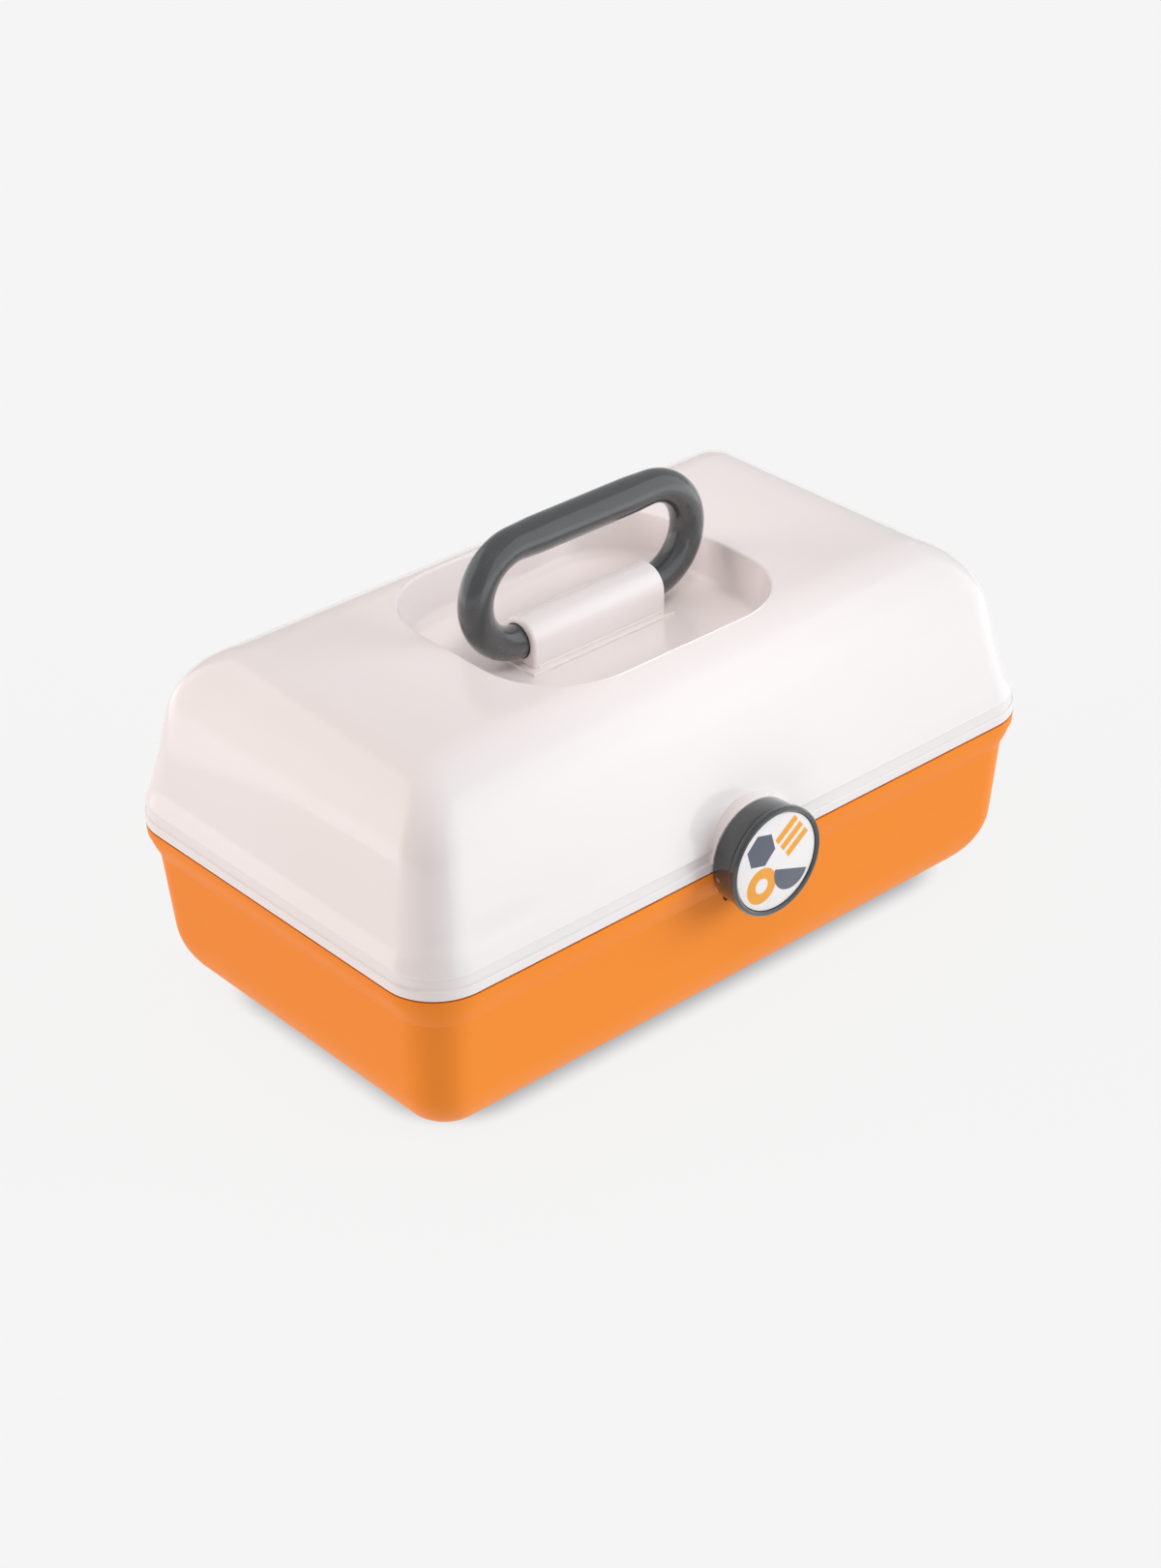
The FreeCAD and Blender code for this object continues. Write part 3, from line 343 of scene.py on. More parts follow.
# %% Small helpers for modelling
def only(geometry, kind):
    """The vertices, edges or faces of what an operator made."""
    return [item for item in geometry if isinstance(item, kind)]


def edges_at(verts):
    """All the edges that meet some vertices."""
    return list(dict.fromkeys(edge for vert in verts for edge in vert.link_edges))


def edges_round(faces):
    """All the edges round some faces."""
    return list(dict.fromkeys(edge for face in faces for edge in face.edges))


def soften(bm, edges, width, segments=3):
    """Round some edges."""
    bmesh.ops.bevel(bm, geom=edges, offset=width, offset_type="OFFSET", segments=segments, profile=0.5,
                    affect="EDGES", clamp_overlap=True, material=-1)


def add_block(bm, low, high, width):
    """A block between two corners with soft edges."""
    low = Vector(low)
    high = Vector(high)
    size = high - low
    turn = Matrix.Translation((low + high) / 2) @ Matrix.Diagonal((size.x, size.y, size.z, 1))
    verts = bmesh.ops.create_cube(bm, size=1.0, matrix=turn)["verts"]
    soften(bm, edges_at(verts), width)


def add_barrel(bm, radius, length, centre, width, axis="X", segments=64):
    """A round bar along X or Y with soft ends."""
    turn = Matrix.Rotation(math.radians(90), 4, "Y" if axis == "X" else "X")
    made = bmesh.ops.create_cone(bm, cap_ends=True, cap_tris=False, segments=segments, radius1=radius,
                                 radius2=radius, depth=length, matrix=Matrix.Translation(centre) @ turn)
    caps = [face for vert in made["verts"] for face in vert.link_faces if len(face.verts) > 4]
    soften(bm, edges_round(caps), width)


# %% [markdown]
# ## Rounded outlines
# Both shells are stacks of rectangles with round corners, drawn in or out as they rise. A circle
# of edges is extruded from one outline to the next. Each of its points carries a station number
# in a layer, extrusion copies the number, and so every point always knows where on the next
# outline it belongs. The straight sides have stations too, because the lid's crown needs them
# where it bends into the well.

# %% Stations round an outline
CORNER_STEPS = 18
LONG_STEPS = 24
SHORT_STEPS = 12
CORNERS = ((1, 1), (-1, 1), (-1, -1), (1, -1))


def list_stations():
    """(corner, angle, None) on a corner's arc, (corner, angle, share) on the side after it."""
    marks = []
    for corner in range(4):
        for step in range(CORNER_STEPS + 1):
            marks.append((corner, 90 * corner + 90 * step / CORNER_STEPS, None))
        steps = SHORT_STEPS if corner % 2 else LONG_STEPS
        for step in range(1, steps):
            marks.append((corner, 90 * (corner + 1), step / steps))
    return marks


STATIONS = list_stations()


class Outline:
    """A rectangle with round corners, level or draped over a height function."""

    def __init__(self, half_x, half_y, corner, z):
        self.half_x = half_x
        self.half_y = half_y
        self.corner = corner
        self.z = z

    def on_arc(self, corner, angle):
        sign_x, sign_y = CORNERS[corner % 4]
        turn = math.radians(angle)
        x = sign_x * (self.half_x - self.corner) + self.corner * math.cos(turn)
        y = sign_y * (self.half_y - self.corner) + self.corner * math.sin(turn)
        return Vector((x, y, 0))

    def point(self, station):
        corner, angle, share = STATIONS[station]
        point = self.on_arc(corner, angle)
        if share is not None:
            point = point.lerp(self.on_arc(corner + 1, angle), share)
        point.z = self.z(point.x, point.y) if callable(self.z) else self.z
        return point

    def holds(self, x, y):
        """Whether a point lies inside."""
        over_x = abs(x) - self.half_x + self.corner
        over_y = abs(y) - self.half_y + self.corner
        if over_x < 0 or over_y < 0:
            return abs(x) <= self.half_x and abs(y) <= self.half_y
        return math.hypot(over_x, over_y) <= self.corner

    def towards(self, other, share, z):
        """An outline part of the way to another one."""
        return Outline(self.half_x + (other.half_x - self.half_x) * share,
                       self.half_y + (other.half_y - self.half_y) * share,
                       self.corner + (other.corner - self.corner) * share, z)


def loft(bm, outlines):
    """Extrude a ring of edges through a row of outlines and close the last one."""
    number = bm.verts.layers.int.get("station") or bm.verts.layers.int.new("station")
    ring = bmesh.ops.create_circle(bm, cap_ends=False, segments=len(STATIONS), radius=1.0)["verts"]
    for station, vert in enumerate(ring):
        vert[number] = station
        vert.co = outlines[0].point(station)
    edges = edges_at(ring)
    for outline in outlines[1:]:
        made = bmesh.ops.extrude_edge_only(bm, edges=edges)["geom"]
        edges = only(made, bmesh.types.BMEdge)
        for vert in only(made, bmesh.types.BMVert):
            vert.co = outline.point(vert[number])
    bmesh.ops.edgeloop_fill(bm, edges=edges)


# %% [markdown]
# A moulded edge is never sharp. A profile is given by its corner points, and each corner is
# rounded by bevelling the points of a wire. The operator places the new points, and a walk along
# the wire reads them back in order.


# %% Rounding the corners of a profile
def rounded_profile(points, radii, steps=3):
    """The profile's points with each inner corner rounded by its own radius."""
    wire = bmesh.new()
    verts = []
    for across, up in points:
        verts.append(wire.verts.new((across, 0, up)))
    for first, second in zip(verts, verts[1:]):
        wire.edges.new((first, second))
    start = verts[0]
    for vert, radius in zip(verts[1:-1], radii):
        if radius > 0:
            bmesh.ops.bevel(wire, geom=[vert], offset=radius, offset_type="OFFSET", segments=steps,
                            profile=0.5, affect="VERTICES", clamp_overlap=True, material=-1)
    line = [start]
    seen = {start}
    while True:
        ahead = [edge.other_vert(line[-1]) for edge in line[-1].link_edges]
        ahead = [vert for vert in ahead if vert not in seen]
        if not ahead:
            break
        line.append(ahead[0])
        seen.add(ahead[0])
    profile = [(vert.co.x, vert.co.z) for vert in line]
    wire.free()
    return profile


test = rounded_profile([(0, 0), (1, 0), (1, 1)], [0.5])
print("a rounded corner has", len(test), "points")

# %% [markdown]
# ## The walls of the shells
# A shell's wall leaves its root with a draft, so that it comes out of the mould, and turns into
# the level crown or floor through a large arc. The ends of the lid turn with a larger arc than
# its long sides. `Wall` gives how far a wall stands in from the seam at any height.

# %% Sizes of the shells
HALF_LENGTH = 170 * MM
HALF_WIDTH = 101 * MM
CORNER = 24 * MM
SEAM = 81.4 * MM
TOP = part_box("lid_shell")[1].z
WALL = 2.2 * MM
SEAM_GAP = 0.3 * MM
ARC_STEPS = 14
WALL_STEPS = 5


class Wall:
    """A drafted wall that turns level through an arc, measured by its rise from the root."""

    def __init__(self, root_inset, draft, radius, depth, thickness):
        self.draft = math.radians(draft)
        self.radius = radius - thickness
        self.centre_rise = depth - radius
        turn_rise = self.centre_rise + radius * math.sin(self.draft)
        self.centre_inset = root_inset + turn_rise * math.tan(self.draft) + radius * math.cos(self.draft)
        self.root_inset = root_inset + thickness / math.cos(self.draft)
        self.turn_rise = self.centre_rise + self.radius * math.sin(self.draft)

    def inset(self, rise):
        if rise <= self.turn_rise:
            return self.root_inset + rise * math.tan(self.draft)
        over = min(rise - self.centre_rise, self.radius)
        return self.centre_inset - math.sqrt(self.radius ** 2 - over ** 2)

    def rises(self, last_angle=90):
        """Heights for the rings of this wall, up to an angle of its arc."""
        heights = [self.turn_rise * step / WALL_STEPS for step in range(WALL_STEPS)]
        start = math.degrees(self.draft)
        for step in range(ARC_STEPS + 1):
            angle = math.radians(start + (last_angle - start) * step / ARC_STEPS)
            heights.append(self.centre_rise + self.radius * math.sin(angle))
        return heights


def level(inset_x, inset_y, corner, z):
    """A level outline, drawn in from the seam outline."""
    return Outline(HALF_LENGTH - inset_x, HALF_WIDTH - inset_y, corner, z)


class Skin:
    """One side of a shell: its end walls, its side walls and the corners between them."""

    def __init__(self, root_z, facing, end_wall, side_wall, corner_root, corner_crown):
        self.root_z = root_z
        self.facing = facing
        self.end_wall = end_wall
        self.side_wall = side_wall
        self.corner_root = corner_root
        self.corner_crown = corner_crown
        self.last_rise = side_wall.centre_rise + side_wall.radius

    def ring(self, rise):
        side = self.side_wall
        first = side.inset(0)
        share = (side.inset(rise) - first) / (side.inset(self.last_rise) - first)
        corner = self.corner_root + (self.corner_crown - self.corner_root) * share
        return level(self.end_wall.inset(rise), side.inset(rise), corner, self.root_z + self.facing * rise)

    def height(self, x, y):
        """The height of the ring that passes through a point."""
        low = 0.0
        high = self.last_rise
        for _ in range(30):
            middle = (low + high) / 2
            if self.ring(middle).holds(x, y):
                low = middle
            else:
                high = middle
        return self.root_z + self.facing * low

    def rings(self, last_angle=90):
        return [self.ring(rise) for rise in self.side_wall.rises(last_angle)]


def banded(profile):
    """Level outlines for a rim whose corners stay concentric with the seam's."""
    return [level(inset, inset, CORNER - inset, z) for inset, z in profile]


# %% [markdown]
# ## The lid
# The lid's rim is a proud band, a groove and a bead, and the bead's upper side slopes over into
# the dome. The crown sinks into the handle well. Outside and inside are lofted as two sheets that
# start from the same ring under the rim, and merging that ring closes the shell. The well is as
# wide as the crown is flat, so the last rings of the shoulder are draped over the dome on their
# way to the well's lip.

# %% Sizes of the lid
PROUD = 0.8 * MM
RIM_LOW = SEAM + 0.8 * MM
RIM_TOP = SEAM + 4.8 * MM
BEAD_TOP = SEAM + 9.7 * MM
LID_INSET = 1.2 * MM
LID_DRAFT = 12
END_SHOULDER = 36.5 * MM
SIDE_SHOULDER = 38 * MM
CROWN_CORNER = 3 * MM
WELL_HALF = Vector((71.5 * MM, 60 * MM))
WELL_CORNER = 38 * MM
WELL_DEPTH = 19.5 * MM
WELL_DRAFT = math.radians(14)
WELL_LIP = 1.5 * MM
WELL_LIP_INSIDE = 0.6 * MM
WELL_FILLET = 5 * MM
WELL_FLAT = 9 * MM
WELL_SETBACK = math.tan((math.pi / 2 - WELL_DRAFT) / 2)
WELL_FLOOR = TOP - WELL_DEPTH
SLOPE_RISE = 7.8 * MM
DOME_RISE = 11 * MM
DRAPED_RINGS = 12
SHOULDER_STOP = 76


def lid_skin(thickness):
    """The dome's outside, or its inside one wall thickness in."""
    depth = TOP - BEAD_TOP
    walls = []
    for radius in (END_SHOULDER, SIDE_SHOULDER):
        walls.append(Wall(LID_INSET, LID_DRAFT, radius, depth, thickness))
    corner = CORNER - LID_INSET - thickness
    return Skin(BEAD_TOP, 1, walls[0], walls[1], corner, CROWN_CORNER - thickness / 2)


def well_rings(skin, grow, lip, fillet, steps):
    """Outlines of the well, from its lip down and in to its floor, with both corners set back."""
    rings = []
    top = skin.root_z + skin.last_rise
    draw = WELL_DEPTH * math.tan(WELL_DRAFT)
    points = [(-WELL_FLAT, 0), (0, 0), (draw, WELL_DEPTH), (draw + WELL_FLAT, WELL_DEPTH)]
    for inwards, down in rounded_profile(points, [lip, fillet], steps)[1:]:
        half_x = WELL_HALF.x + grow - inwards
        half_y = WELL_HALF.y + grow - inwards
        corner = max(WELL_CORNER + grow - inwards, 1 * MM)
        z = skin.height if down == 0 else top - down
        rings.append(Outline(half_x, half_y, corner, z))
    return rings


def draped(skin, start, end):
    """Rings from the shoulder to the well that lie on the dome."""
    rings = []
    for step in range(1, DRAPED_RINGS):
        share = 1 - (1 - step / DRAPED_RINGS) ** 1.5
        rings.append(start.towards(end, share, skin.height))
    return rings


def lid_outside():
    """Outlines from under the rim, over the dome and down to the well's floor."""
    skin = lid_skin(0.0)
    slope_top = BEAD_TOP + SLOPE_RISE
    rim = [(WALL, RIM_LOW), (-PROUD, RIM_LOW), (-PROUD, RIM_TOP), (0.35 * MM, RIM_TOP + 0.5 * MM),
           (0.55 * MM, BEAD_TOP - 0.2 * MM), (-0.2 * MM, BEAD_TOP + 0.2 * MM), (0, BEAD_TOP + 1.3 * MM),
           (skin.side_wall.inset(SLOPE_RISE), slope_top),
           (skin.side_wall.inset(DOME_RISE), BEAD_TOP + DOME_RISE)]
    radii = [0.2 * MM, 0.55 * MM, 0.45 * MM, 0.45 * MM, 0.4 * MM, 0.8 * MM, 2.6 * MM]
    rings = banded(rounded_profile(rim, radii, 4)[:-1])
    shoulder = [ring for ring in skin.rings(SHOULDER_STOP) if ring.z > slope_top + 3 * MM]
    well = well_rings(skin, 0.0, WELL_LIP * WELL_SETBACK, WELL_FILLET * WELL_SETBACK, 8)
    return rings + shoulder + draped(skin, shoulder[-1], well[0]) + well


def lid_inside():
    """Outlines from under the rim, up the inside and down round the well."""
    skin = lid_skin(WALL)
    root = skin.side_wall.root_inset
    knee = BEAD_TOP - (root - WALL) / math.tan(skin.side_wall.draft)
    rings = banded([(WALL, RIM_LOW), (WALL, knee)])
    shoulder = skin.rings(SHOULDER_STOP + 4)
    grow = WALL - WALL * math.tan(WELL_DRAFT)
    well = well_rings(skin, grow, WELL_LIP_INSIDE, (WELL_FILLET + WALL / 2) * WELL_SETBACK, 6)
    return rings + shoulder + draped(skin, shoulder[-1], well[0]) + well


# %% [markdown]
# The lid also carries what it turns and closes on: the round pad behind the latch, the keeper
# tongue, two hinge knuckles with their webs, the ears of the mirror and the bosses of the tray's
# brackets. They are soft-edged blocks and barrels that run into the shell's wall.

# %% Fittings of the lid
HINGE_Y = HALF_WIDTH + PROUD + 5.5 * MM
HINGE_X = 92 * MM
WEB_STEP = 0.25 * MM
KNUCKLE_RADIUS = 5 * MM
KNUCKLE_WIDTH = 14 * MM
PAD_RADIUS = 23.8 * MM
LATCH_Z = SEAM + 1.6 * MM
PAD_DEPTH = 12 * MM
KEEPER_BACK = -HALF_WIDTH - 0.4 * MM
KEEPER_LOW = 75.8 * MM
KEEPER_HALF = 7 * MM
KEEPER_NOSE = 0.85 * MM
EDGE = 0.4 * MM
MIRROR_AXIS = Vector((0, 61.5 * MM, 135 * MM))
MIRROR_EAR = (79.4 * MM, 83.4 * MM)
EAR_RADIUS = 3.5 * MM
BRACKET_FACE = 159.1 * MM
BRACKET_END = 166.4 * MM
CRANK_Y = 43.8 * MM
BRACKET_TOP = 98.4 * MM
BRACKET_HALF = 8 * MM


def add_latch_pad(bm):
    """A round pad, flush with the rim, cut off at the seam."""
    pad = bmesh.new()
    centre = (0, -HALF_WIDTH - PROUD + PAD_DEPTH / 2, LATCH_Z)
    add_barrel(pad, PAD_RADIUS, PAD_DEPTH, centre, 0.7 * MM, "Y", 96)
    cut = bmesh.ops.bisect_plane(pad, geom=pad.verts[:] + pad.edges[:] + pad.faces[:],
                                 plane_co=(0, 0, RIM_LOW), plane_no=(0, 0, -1), clear_outer=True)
    bmesh.ops.edgeloop_fill(pad, edges=only(cut["geom_cut"], bmesh.types.BMEdge))
    join(bm, pad)


def join(bm, other):
    """Add another bmesh's faces to this one."""
    mesh = to_mesh(other, "joined")
    bm.from_mesh(mesh)
    bpy.data.meshes.remove(mesh)


def add_knuckle(bm, x, web_low, web_high):
    """One hinge knuckle, just short of the pin's end, and the web that ties it to the wall."""
    half = KNUCKLE_WIDTH / 2 - WEB_STEP
    add_barrel(bm, KNUCKLE_RADIUS, 2 * half, (x, HINGE_Y, SEAM), EDGE)
    half -= WEB_STEP
    add_block(bm, (x - half, HALF_WIDTH - WALL / 2, web_low), (x + half, HINGE_Y, web_high), EDGE)


def make_lid():
    bm = bmesh.new()
    loft(bm, lid_outside())
    loft(bm, lid_inside())
    add_latch_pad(bm)
    add_block(bm, (-KEEPER_HALF, KEEPER_BACK - 1 * MM, KEEPER_LOW),
              (KEEPER_HALF, KEEPER_BACK, RIM_TOP - 1 * MM), 0.3 * MM)
    centre = (0, KEEPER_BACK - KEEPER_NOSE, KEEPER_LOW + KEEPER_NOSE)
    add_barrel(bm, KEEPER_NOSE, 2 * KEEPER_HALF, centre, 0.2 * MM, segments=24)
    for side in (-1, 1):
        add_knuckle(bm, side * HINGE_X, SEAM + SEAM_GAP, SEAM + 9 * MM)
        low_x, high_x = sorted(side * x for x in MIRROR_EAR)
        add_block(bm, (low_x + WEB_STEP, MIRROR_AXIS.y - EAR_RADIUS, MIRROR_AXIS.z),
                  (high_x - WEB_STEP, MIRROR_AXIS.y + EAR_RADIUS, TOP - 2.4 * MM), EDGE)
        add_barrel(bm, EAR_RADIUS, high_x - low_x, ((low_x + high_x) / 2, *MIRROR_AXIS[1:]), EDGE)
        low_x, high_x = sorted((side * BRACKET_FACE, side * BRACKET_END))
        add_block(bm, (low_x, CRANK_Y - BRACKET_HALF, BRACKET_TOP - BRACKET_HALF),
                  (high_x, CRANK_Y + BRACKET_HALF, BRACKET_TOP + 1 * MM), EDGE)
    make_piece(bm, "lid_cover", "lid", pearl, "lid_shell")


make_lid()

# %% [markdown]
# ## The base
# The tub's rim flares out under the seam as two bands with a hollow between them, and a fine
# ridge marks where the flare meets the wall. Below it the wall is drafted and rolls under the
# case through a wide arc. A tongue stands up inside the rim and keeps the lid in line.

# %% Sizes of the base
FLANGE_LOW = SEAM - 13 * MM
BAND_LOW = SEAM - 4.5 * MM
BASE_ROOT = 3.9 * MM
END_DRAFT = 3.5
SIDE_DRAFT = 5.7
KEEL_RADIUS = 33 * MM
KEEL_CORNER = 6.3 * MM
LIP_TOP = SEAM + 2.5 * MM
LIP_INSET = 2.6 * MM


def base_skin(thickness):
    """The tub's outside or inside below the flange."""
    walls = []
    for draft in (END_DRAFT, SIDE_DRAFT):
        walls.append(Wall(BASE_ROOT, draft, KEEL_RADIUS, FLANGE_LOW, thickness))
    return Skin(FLANGE_LOW, -1, walls[0], walls[1], CORNER - BASE_ROOT - thickness, KEEL_CORNER - thickness)


def base_sheets():
    """Outlines of the outside from the tongue down, and of the inside from the tongue down."""
    outer = base_skin(0.0)
    inner = base_skin(WALL)
    above = FLANGE_LOW - LIP_TOP
    lip_inner = inner.side_wall.inset(above)
    cove = BASE_ROOT + 0.12 * MM
    rim = [(lip_inner, LIP_TOP), (LIP_INSET, LIP_TOP), (LIP_INSET, SEAM - 0.8 * MM), (-0.75 * MM, SEAM),
           (-0.5 * MM, BAND_LOW), (0, BAND_LOW - 0.3 * MM), (1.3 * MM, BAND_LOW - 4.8 * MM),
           (3.5 * MM, FLANGE_LOW - 0.6 * MM), (cove, FLANGE_LOW - 1.7 * MM),
           (BASE_ROOT + 0.28 * MM, FLANGE_LOW - 4 * MM)]
    radii = [0.4 * MM, 0.3 * MM, 0.12 * MM, 0.15 * MM, 0.2 * MM, 2.5 * MM, 0.6 * MM, 0.6 * MM]
    outside = banded(rounded_profile(rim, radii, 4)[:-1])
    for ring in outer.rings():
        if ring.z < FLANGE_LOW - 3.5 * MM:
            outside.append(ring)
    mouth = level(inner.end_wall.inset(above), lip_inner, CORNER - lip_inner, LIP_TOP)
    outside[0] = mouth
    return outside, [mouth] + inner.rings()


# %% The tub with knuckles, latch lugs and arm bosses
LATCH_AXIS = Vector((0, -HALF_WIDTH - PROUD - 1.3 * MM, 68 * MM))
LUG_RADIUS = 3.5 * MM
LUG_HALF = 1.5 * MM
LUG_X = 5 * MM
LUG_REACH = 8 * MM
KNUCKLE_STEP = KNUCKLE_WIDTH + 0.4 * MM
ARM_PIVOT = Vector((0, 28 * MM, 69 * MM))
ARM_BOSS = (153.5 * MM, 164.4 * MM)
ARM_BOSS_RADIUS = 6 * MM


def make_base():
    bm = bmesh.new()
    outside, inside = base_sheets()
    loft(bm, outside)
    loft(bm, inside)
    for side in (-1, 1):
        for step in (-1, 1):
            add_knuckle(bm, side * HINGE_X + step * KNUCKLE_STEP, SEAM - 12.5 * MM, SEAM)
        x = side * LUG_X
        add_barrel(bm, LUG_RADIUS, 2 * LUG_HALF, (x, *LATCH_AXIS[1:]), EDGE)
        add_block(bm, (x - LUG_HALF + WEB_STEP, LATCH_AXIS.y, LATCH_AXIS.z),
                  (x + LUG_HALF - WEB_STEP, LATCH_AXIS.y + LUG_REACH, LATCH_AXIS.z + LUG_RADIUS), EDGE)
        low_x, high_x = sorted(side * x for x in ARM_BOSS)
        add_barrel(bm, ARM_BOSS_RADIUS, high_x - low_x, ((low_x + high_x) / 2, *ARM_PIVOT[1:]), EDGE)
    make_piece(bm, "base_tub", "base", orange, "base_shell")


make_base()

# %% [markdown]
# ## The handle
# The bail is one round bar: two stubs that face each other, two half circles and a grip. A
# circle is extruded along the stubs and the grip and spun round the bends, which keeps the
# section exactly round. The grip is a little fuller than the bends.

# %% The handle
HANDLE_AXIS = TOP - 8.7 * MM
TUBE_RADIUS = 7.9 * MM
SLIM_RADIUS = 7.4 * MM
HANDLE_HALF = 58 * MM
HANDLE_RISE = 44.8 * MM
STUB_END = 10.4 * MM
BEND_STEPS = 40
GRIP_STEPS = 16


def make_handle():
    bm = bmesh.new()
    bend = HANDLE_RISE / 2
    knee = HANDLE_HALF - bend
    face_x = Matrix.Translation((-STUB_END, 0, HANDLE_AXIS)) @ Matrix.Rotation(math.radians(90), 4, "Y")
    ring = bmesh.ops.create_circle(bm, cap_ends=True, cap_tris=False, segments=48, radius=SLIM_RADIUS,
                                   matrix=face_x)["verts"]
    edges = edges_at(ring)

    def pull(edges, distance, steps):
        for _ in range(steps):
            made = bmesh.ops.extrude_edge_only(bm, edges=edges)["geom"]
            edges = only(made, bmesh.types.BMEdge)
            bmesh.ops.translate(bm, vec=X_AXIS * distance / steps, verts=only(made, bmesh.types.BMVert))
        return edges

    def turn(edges, centre_x):
        made = bmesh.ops.spin(bm, geom=edges, cent=(centre_x, 0, HANDLE_AXIS + bend), axis=Y_AXIS,
                              angle=math.pi, steps=BEND_STEPS, use_duplicate=False)["geom_last"]
        return only(made, bmesh.types.BMEdge)

    edges = pull(edges, STUB_END - knee, 4)
    edges = turn(edges, -knee)
    edges = pull(edges, 2 * knee, GRIP_STEPS)
    edges = turn(edges, knee)
    edges = pull(edges, STUB_END - knee, 4)
    bmesh.ops.edgeloop_fill(bm, edges=edges)
    grip_z = HANDLE_AXIS + HANDLE_RISE
    for vert in bm.verts:
        if vert.co.z > grip_z - 1.2 * TUBE_RADIUS and abs(vert.co.x) < knee + 2 * MM:
            share = min(1.0, max(0.0, (knee + 1 * MM - abs(vert.co.x)) / (12 * MM)))
            share = share * share * (3 - 2 * share)
            grow = 1 + (TUBE_RADIUS / SLIM_RADIUS - 1) * share
            vert.co.y *= grow
            vert.co.z = grip_z + (vert.co.z - grip_z) * grow
    make_piece(bm, "bail_handle", "handle", slate, "handle")


make_handle()

# %% [markdown]
# ## Cutting holes
# A hole across a curved wall is easiest as a Boolean modifier. The cutter is a closed bmesh. The
# modifier's result is read back from the dependency graph and kept as the piece's own mesh, so
# that nothing live is left on it.


# %% A hole cutter
def cut_away(piece, cutter):
    """Take a closed bmesh out of a piece, for good."""
    heal(cutter)
    tool = add_object("cutter", to_mesh(cutter, "cutter"))
    change = piece.modifiers.new("cut", "BOOLEAN")
    change.object = tool
    change.solver = "MANIFOLD"
    view = bpy.context.evaluated_depsgraph_get()
    done = bpy.data.meshes.new_from_object(piece.evaluated_get(view))
    piece.modifiers.remove(change)
    done.name = piece.data.name
    piece.data = done
    smooth(done)
    bpy.data.objects.remove(tool)


# %% [markdown]
# ## The saddle
# The saddle is a tunnel with a round back that the handle's stubs turn in. A block gets its two
# top edges bevelled by nearly its radius, which makes the half-round back, and then the outline of
# each end is bevelled, because the moulded ends are softly rounded. The bores are cut last. A
# foot plate and two side ledges sit under it.

# %% The saddle
SADDLE_HALF = 36.5 * MM
SADDLE_RADIUS = 10.2 * MM
SADDLE_ROUND = 0.99  # share of the radius, so that the two bevels stop just short of each other
SADDLE_SOFT = 1.9 * MM
SADDLE_LEDGE = 0.6 * MM
SADDLE_FOOT = 3 * MM
FOOT_THICK = 1.2 * MM
LEDGE_THICK = 2.4 * MM
BORE_RADIUS = 7.8 * MM
BORE_END = 10 * MM


def make_saddle():
    bm = bmesh.new()
    top = HANDLE_AXIS + SADDLE_RADIUS
    size = (2 * SADDLE_HALF, 2 * SADDLE_RADIUS, top - WELL_FLOOR, 1)
    turn = Matrix.Translation((0, 0, (top + WELL_FLOOR) / 2)) @ Matrix.Diagonal(size)
    bmesh.ops.create_cube(bm, size=1.0, matrix=turn)
    long_top = []
    for edge in bm.edges:
        along_x = abs(edge.verts[0].co.x - edge.verts[1].co.x) > SADDLE_HALF
        if along_x and edge.verts[0].co.z > top - 1 * MM:
            long_top.append(edge)
    soften(bm, long_top, SADDLE_RADIUS * SADDLE_ROUND, 24)
    ends = [face for face in bm.faces if abs(face.normal.x) > 0.99]
    soften(bm, edges_round(ends), SADDLE_SOFT, 5)
    piece = make_piece(bm, "saddle", "lid", pearl, "handle_saddle")
    for side in (-1, 1):
        bore = bmesh.new()
        reach = SADDLE_HALF + 5 * MM - BORE_END
        add_barrel(bore, BORE_RADIUS, reach, (side * (BORE_END + reach / 2), 0, HANDLE_AXIS), 0.2 * MM)
        cut_away(piece, bore)
    whole = bmesh.new()
    whole.from_mesh(piece.data)
    foot_x = SADDLE_HALF + SADDLE_FOOT
    foot_y = SADDLE_RADIUS + SADDLE_FOOT
    add_block(whole, (-foot_x, -foot_y, WELL_FLOOR - 0.5 * MM), (foot_x, foot_y, WELL_FLOOR + FOOT_THICK),
              0.6 * MM)
    for side in (-1, 1):
        near, far = sorted((side * (BORE_RADIUS + 0.7 * MM), side * (SADDLE_RADIUS + SADDLE_LEDGE)))
        add_block(whole, (-SADDLE_HALF + SADDLE_SOFT, near, WELL_FLOOR),
                  (SADDLE_HALF - SADDLE_SOFT, far, WELL_FLOOR + LEDGE_THICK), 0.4 * MM)
    whole.to_mesh(piece.data)
    whole.free()


make_saddle()

# %% [markdown]
# ## The latch
# The latch cup is a turned form: its section is drawn once and spun about the cup's axis. The
# back of the skirt is cut along a slanting plane, so that the cup clears the base when it swings
# down. The holes for the two pins are cut with a boolean, because they cross a curved wall.

# %% The latch cup
CUP_BACK = -HALF_WIDTH - PROUD - 0.4 * MM
CUP_RADIUS = 23.3 * MM
CUP_DEPTH = 10 * MM
BEZEL_RADIUS = 24.4 * MM
CUP_FRONT = 13.8 * MM
FACE_RADIUS = 22.1 * MM
FACE_DEPTH = 12.6 * MM
FACE_THICK = 1.5 * MM
LATCH_SWING = math.radians(60)
SKIRT_GAP = 5.1 * MM
CATCH_AXIS = Vector((0, KEEPER_BACK - 3.25 * MM, SEAM - 1.8 * MM))
CATCH_HOLE = 1.3 * MM
SLOT_HALF = Vector((30 * MM, 2.6 * MM, 1.45 * MM))


